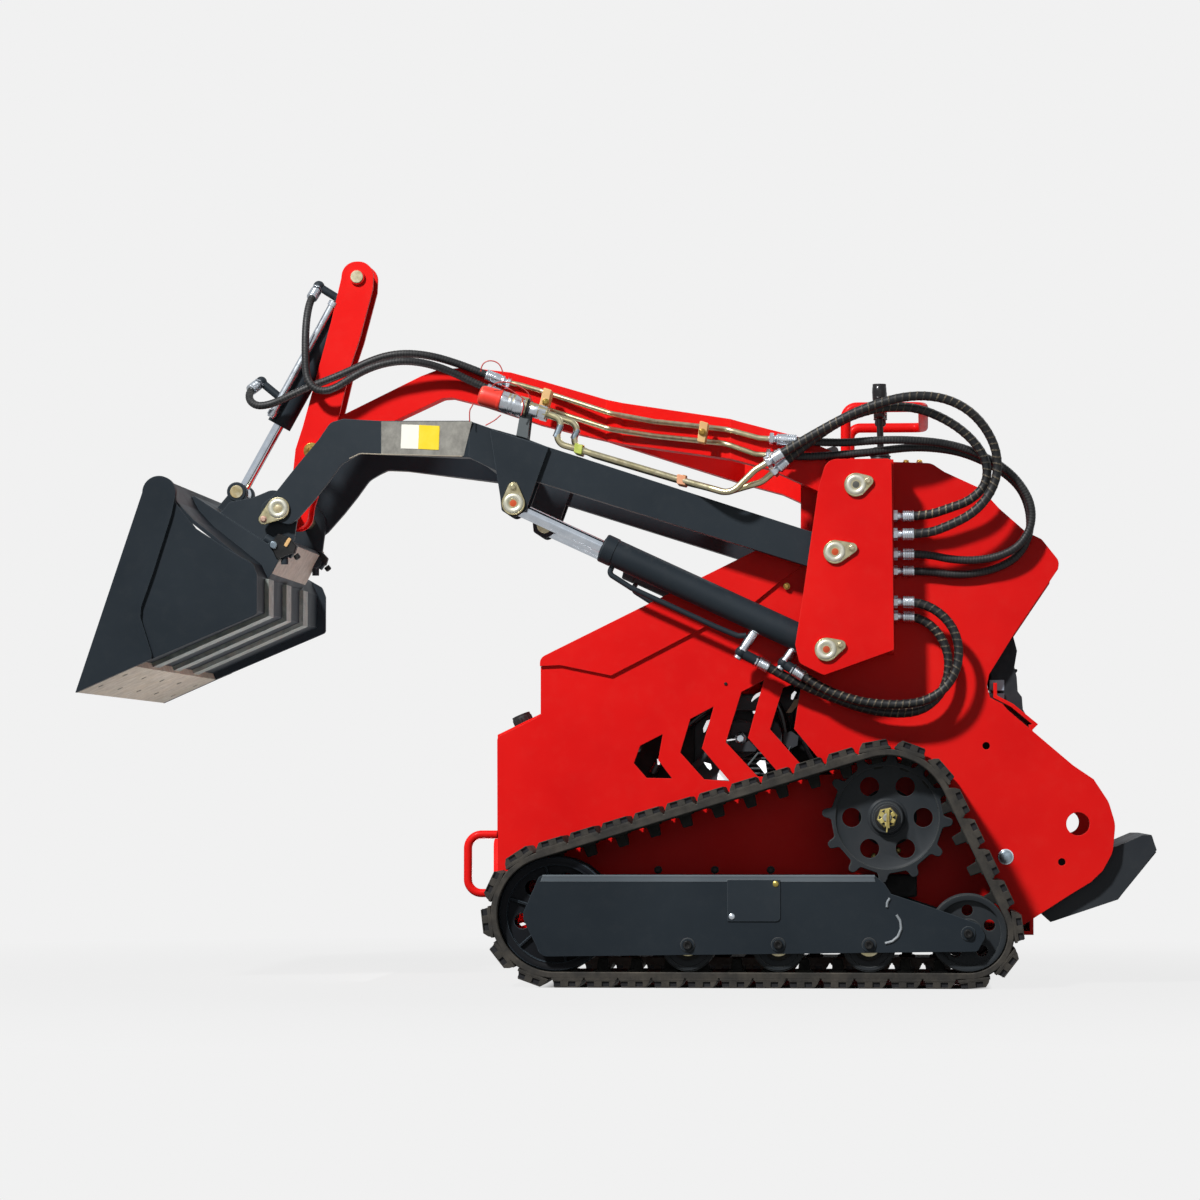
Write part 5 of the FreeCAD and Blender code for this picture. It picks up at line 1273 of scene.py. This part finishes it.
# rear mount plate and its latches
ms = Mesh("mount_trim")
m0, m1 = Vector((-747, 0, 966)), Vector((-785, 0, 894))
al = (m1 - m0).normalized()
nn = Vector((-al.z, 0, al.x))
nn = nn if nn.x > 0 else -nn
q = [m0 + al * 2, m0 + al * 79, m0 + al * 79 + nn * 1.0, m0 + al * 2 + nn * 1.0]
# the pale mount grey partly paints the ground's reflection on this plate
extrude(ms, [(k.x, k.z) for k in q], -249, 249, "mount", bevel=0.0)
for s in (-1, 1):
    y0, y1 = sorted((s * 252, s * 232))
    extrude(ms, rounded([(-787, 959), (-770, 985), (-748, 978), (-728, 957), (-733, 941), (-752, 936), (-772, 925)], 4, 3), y0, y1, "blacksteel", bevel=2.0)
    extrude(ms, rounded([(-757, 958), (-746, 976), (-739, 972), (-750, 953)], 3, 3), s * 252, s * 254.5, "clamp", bevel=0.8)
    lathe(ms, R(-780, s * 252, 959), (0, s, 0), [(0, 8.5), (4, 8.5), (5.5, 6.5), (5.5, 0)], "ubend", 22)
    lathe(ms, R(-732, s * 240, 938), (0.6, 0, -0.8), [(0, 7), (9, 7), (11, 5), (11, 0)], "blacksteel", 20)
ms.done("bucket")

# ------------------------------------------------------------------ engine bay, seen through the side openings
ms = Mesh("engine_parts")
for s in (-1, 1):
    y1, y0 = s * 296, s * 236
    # radiator frame, and near-black baffles behind the openings that paint the shade inside the bay
    box_mesh(ms, (-60, min(s * 232, s * 246), 430), (150, max(s * 232, s * 246), 640), "inside", 2)
    box_mesh(ms, (362, min(s * 180, s * 240), 430), (470, max(s * 180, s * 240), 566), "inside", 2)
    box_mesh(ms, (205, min(s * 232, s * 262), 590), (300, max(s * 232, s * 262), 628), "engine", 4)
    # belt pulley with its bolt, and banded housing below it
    lathe(ms, R(251, s * 240, 531), (0, s, 0), [(0, 40), (4, 42), (9, 34), (14, 42), (18, 41), (19, 30), (16, 26), (16, 12)], "engine", 40)
    bolt(ms, R(251, s * 256, 531), (0, s, 0), 9, "silver", h=7)
    for k in range(5):
        box_mesh(ms, (225, min(s * 234, s * 252), 452 + k * 11), (345, max(s * 234, s * 252), 457 + k * 11), "engine", 1.5)
    # air filter canister, and a near-black bracket in the rearmost opening that paints the shade there
    lathe(ms, R(300, s * 205, 612), (1, 0, -0.15), [(0, 20), (4, 44), (60, 46), (62, 49), (70, 49), (72, 46), (128, 44), (134, 20), (134, 0)], "engine", 40)
    box_mesh(ms, (318, min(s * 150, s * 210), 560), (462, max(s * 150, s * 210), 700), "inside", 3)
    # service hoses
    for pts, r, key in (([(60, s * 262, 455), (95, s * 268, 520), (150, s * 262, 575), (190, s * 258, 600)], 11, "gloss"),
                        ([(300, s * 268, 660), (330, s * 272, 610), (350, s * 268, 560), (352, s * 262, 500), (330, s * 258, 452)], 10, "gloss"),
                        ([(395, s * 262, 660), (372, s * 266, 600), (380, s * 262, 540), (420, s * 258, 470)], 9, "gloss"),
                        ([(150, s * 250, 470), (185, s * 266, 500), (205, s * 268, 560), (196, s * 262, 600)], 8, "engine")):
        sweep(ms, nurbs_line("bay", pts), r, key, seg=12)
    # glowing patches that paint the glint of bright metal and the light seen through gaps between the hoses, with flat
    # grey, beige and bar patches of machinery
    for key, q in (("glint", [(186.2, 572.1), (178.4, 569.9), (170.6, 553.3), (171.7, 543.3), (176.1, 546.6), (181.7, 559.9)]),
                   ("glint", [(171.6, 479.9), (187.2, 475.5), (189.4, 465.5), (184.9, 462.2), (178.3, 468.8)]),
                   ("glint", [(207.2, 464.4), (229.4, 442.2), (227.1, 439.5), (200.9, 441.1), (202.7, 453.3)]),
                   ("glint", [(296.3, 632.6), (294.1, 624.2), (283.0, 616.4), (276.3, 610.4), (275.2, 613.1), (280.8, 623.1), (287.5, 628.6)]),
                   ("glint", [(278.5, 590.4), (286.3, 591.3), (285.2, 584.7), (279.6, 585.3)]),
                   ("engine2", [(234.4, 566.1), (276.2, 566.0), (269.4, 544.3), (262.8, 543.2), (251.7, 545.4), (240.5, 537.7), (229.4, 537.7)]),
                   ("engine2", [(226.1, 520.3), (240.5, 522.5), (258.3, 521.0), (271.6, 525.4), (287.2, 507.6), (284.9, 502.1), (242.7, 502.1), (231.6, 513.2)]),
                   ("bar", [(289.9, 502.1), (292.1, 498.5), (269.4, 471.0), (266.7, 474.3)]),
                   ("glint", [(220.6, 527.6), (231.7, 530.0), (240.6, 530.0), (240.6, 528.2), (231.7, 526.4), (222.8, 525.3)]),
                   ("glint", [(293.9, 483.2), (306.1, 483.2), (309.4, 457.7), (304.9, 454.1), (293.8, 468.8), (286.7, 476.5)]),
                   ("glint", [(369.6, 634.0), (374.1, 631.8), (366.3, 615.2), (361.8, 616.3), (363.0, 626.3)]),
                   ("beige", [(368.5, 614.1), (378.9, 617.4), (376.2, 601.8), (362.9, 586.8), (350.7, 586.8), (361.8, 601.9)]),
                   ("engine2", [(325.0, 566.4), (333.9, 564.2), (340.5, 548.6), (339.4, 528.7), (320.5, 543.1)]),
                   ("engine2", [(345.0, 542.0), (362.7, 546.4), (378.7, 535.3), (376.0, 515.3), (358.2, 506.5), (344.9, 522.0)]),
                   ("bar", [(360.5, 514.2), (362.3, 513.1), (357.8, 504.2), (354.9, 504.7)])):
        front = 279.6 if key in ("glint", "bar") else 278.0
        extrude(ms, q, s * (front - 2.0), s * front, key, bevel=0.4)
    # one more glowing patch, a painted glint
    extrude(ms, [(70, 486), (76, 488), (76, 474), (71, 474)], s * 277.6, s * 279.6, "glint", bevel=0.4)
ms.done("chassis")

# ------------------------------------------------------------------ rear pad details and step tread
ms = Mesh("rear_plates")
for z0, z1 in ((603, 628), (634, 657)):
    box_mesh(ms, (792, -286.2, z0), (824, -285, z1), "label2", 0.6)
for z0 in (604, 640, 676):
    box_mesh(ms, (846, -240, z0), (853.5, 240, z0 + 6), "pad", 1.5)
ms.done("chassis")
ms = Mesh("step_tread")
for i in range(12):
    for j in range(22):
        x, y = 926 + i * 11.8, -262 + j * 25
        if i % 2:
            y += 12
            if y > 270:
                continue
        a = 0.78 if (i + j) % 2 else -0.78
        ca, sa = math.cos(a) * 6, math.sin(a) * 6
        ca2, sa2 = math.cos(a + 1.571) * 1.6, math.sin(a + 1.571) * 1.6
        z = 296.9
        v = [R(x + ca + 0, y + sa, z), R(x + ca2, y + sa2, z), R(x - ca, y - sa, z), R(x - ca2, y - sa2, z), R(x + ca * .6, y + sa * .6, z + 1.5), R(x - ca * .6, y - sa * .6, z + 1.5)]
        ms.add(v, [(0, 1, 4), (1, 5, 4), (1, 2, 5), (2, 3, 5), (3, 4, 5), (3, 0, 4)], "platform")
ms.done("platform")


# ------------------------------------------------------------------ floor and light
def studio_floor():
    bm = bmesh.new()
    s = 60.0
    vs = [bm.verts.new(p) for p in ((-s, -s, 0), (s, -s, 0), (s, s, 0), (-s, s, 0))]
    bm.faces.new(vs)
    me = bpy.data.meshes.new("studio_floor")
    bm.to_mesh(me)
    bm.free()
    o = bpy.data.objects.new("studio_floor", me)
    o.location.z = -0.0005
    scene.collection.objects.link(o)
    mat, nt, sh = new_material("floor")
    sh.inputs["Base Color"].default_value = (0.42, 0.42, 0.42, 1.0)
    sh.inputs["Roughness"].default_value = 0.9
    sh.inputs["Specular IOR Level"].default_value = 0.1
    # far from the object the floor takes the backdrop's own brightness
    geo = nt.nodes.new("ShaderNodeNewGeometry")
    ln = nt.nodes.new("ShaderNodeVectorMath")
    ln.operation = "LENGTH"
    mp = nt.nodes.new("ShaderNodeMapRange")
    mp.inputs["From Min"].default_value, mp.inputs["From Max"].default_value = 1.2, 2.8
    em = nt.nodes.new("ShaderNodeEmission")
    em.inputs["Color"].default_value = BACK
    mix = nt.nodes.new("ShaderNodeMixShader")
    out = [n for n in nt.nodes if n.type == "OUTPUT_MATERIAL"][0]
    nt.links.new(geo.outputs["Position"], ln.inputs[0])
    mp.inputs["To Min"].default_value, mp.inputs["To Max"].default_value = 0.92, 1.0
    nt.links.new(ln.outputs["Value"], mp.inputs["Value"])
    # deep shade between and under the tracks
    near = [mp.outputs["Result"]]
    xyz = nt.nodes.new("ShaderNodeSeparateXYZ")
    nt.links.new(geo.outputs["Position"], xyz.inputs[0])
    wide = nt.nodes.new("ShaderNodeMath")
    wide.operation = "ABSOLUTE"
    nt.links.new(xyz.outputs["Y"], wide.inputs[0])
    shade_ = None
    for sock, a_, b_ in ((xyz.outputs["X"], -0.17, -0.11), (xyz.outputs["X"], 0.80, 0.74), (wide.outputs[0], 0.521, 0.505)):
        r_ = nt.nodes.new("ShaderNodeMapRange")
        r_.inputs["From Min"].default_value, r_.inputs["From Max"].default_value = a_, b_
        nt.links.new(sock, r_.inputs["Value"])
        if shade_ is None:
            shade_ = r_.outputs["Result"]
        else:
            m_ = nt.nodes.new("ShaderNodeMath")
            m_.operation = "MULTIPLY"
            nt.links.new(shade_, m_.inputs[0])
            nt.links.new(r_.outputs["Result"], m_.inputs[1])
            shade_ = m_.outputs[0]
    lit = nt.nodes.new("ShaderNodeMath")
    lit.operation = "SUBTRACT"
    lit.inputs[0].default_value = 1.0
    nt.links.new(shade_, lit.inputs[1])
    fac = nt.nodes.new("ShaderNodeMath")
    fac.operation = "MULTIPLY"
    nt.links.new(lit.outputs[0], fac.inputs[0])
    nt.links.new(near[0], fac.inputs[1])
    nt.links.new(fac.outputs[0], mix.inputs[0])
    nt.links.new(sh.outputs[0], mix.inputs[1])
    nt.links.new(em.outputs[0], mix.inputs[2])
    # the object itself sees a darker floor, as in a large studio
    dim = nt.nodes.new("ShaderNodeBsdfDiffuse")
    dim.inputs["Color"].default_value = (0.16, 0.16, 0.16, 1.0)
    path = nt.nodes.new("ShaderNodeLightPath")
    pick = nt.nodes.new("ShaderNodeMixShader")
    nt.links.new(path.outputs["Is Camera Ray"], pick.inputs[0])
    bright = nt.nodes.new("ShaderNodeEmission")
    bright.inputs["Color"].default_value = (0.5, 0.5, 0.5, 1.0)
    mirror = nt.nodes.new("ShaderNodeMixShader")
    nt.links.new(path.outputs["Is Glossy Ray"], mirror.inputs[0])
    nt.links.new(dim.outputs[0], mirror.inputs[1])
    nt.links.new(bright.outputs[0], mirror.inputs[2])
    nt.links.new(mirror.outputs[0], pick.inputs[1])
    nt.links.new(mix.outputs[0], pick.inputs[2])
    nt.links.new(pick.outputs[0], out.inputs[0])
    me.materials.append(mat)


BACK = lin(241, 241, 241)
studio_floor()

world = bpy.data.worlds.new("studio")
scene.world = world
world.use_nodes = True
wn = world.node_tree
wn.nodes.clear()
wout = wn.nodes.new("ShaderNodeOutputWorld")
bg_cam, bg_fill = wn.nodes.new("ShaderNodeBackground"), wn.nodes.new("ShaderNodeBackground")
bg_cam.inputs["Color"].default_value = BACK
bg_fill.inputs["Color"].default_value = (1.0, 1.0, 1.0, 1.0)
bg_fill.inputs["Strength"].default_value = 0.12
lp, wm = wn.nodes.new("ShaderNodeLightPath"), wn.nodes.new("ShaderNodeMixShader")
wn.links.new(lp.outputs["Is Camera Ray"], wm.inputs[0])
bg_gloss, gm = wn.nodes.new("ShaderNodeBackground"), wn.nodes.new("ShaderNodeMixShader")
bg_gloss.inputs["Color"].default_value = (0.94, 0.97, 1.0, 1.0)
bg_gloss.inputs["Strength"].default_value = 0.6
wn.links.new(lp.outputs["Is Glossy Ray"], gm.inputs[0])
wn.links.new(bg_fill.outputs[0], gm.inputs[1])
wn.links.new(bg_gloss.outputs[0], gm.inputs[2])
wn.links.new(gm.outputs[0], wm.inputs[1])
wn.links.new(bg_cam.outputs[0], wm.inputs[2])
wn.links.new(wm.outputs[0], wout.inputs[0])


def area(name, at, to, size, watts, colour=(1, 1, 1)):
    d = bpy.data.lights.new(name, "AREA")
    d.shape = "RECTANGLE"
    d.size, d.size_y = size
    d.energy = watts
    d.color = colour
    o = bpy.data.objects.new(name, d)
    o.location = at
    o.rotation_euler = (Vector(to) - Vector(at)).to_track_quat("-Z", "Y").to_euler()
    scene.collection.objects.link(o)
    return o


area("key", (-3.9, -6.9, 7.5), (0.1, 0, 0.6), (0.8, 0.8), 1380)
area("front_fill", (2.5, -8.0, 2.2), (0.2, 0, 0.7), (5.0, 3.0), 22)
area("rim", (4.5, 4.0, 5.5), (0.1, 0, 0.8), (3.0, 2.0), 110)
low = area("low_bounce", (-0.42, 0, 0.12), (-0.95, 0, 0.75), (0.5, 1.2), 16)
low.visible_camera = False
scene.view_settings.view_transform = "Standard"
scene.view_settings.look = "None"
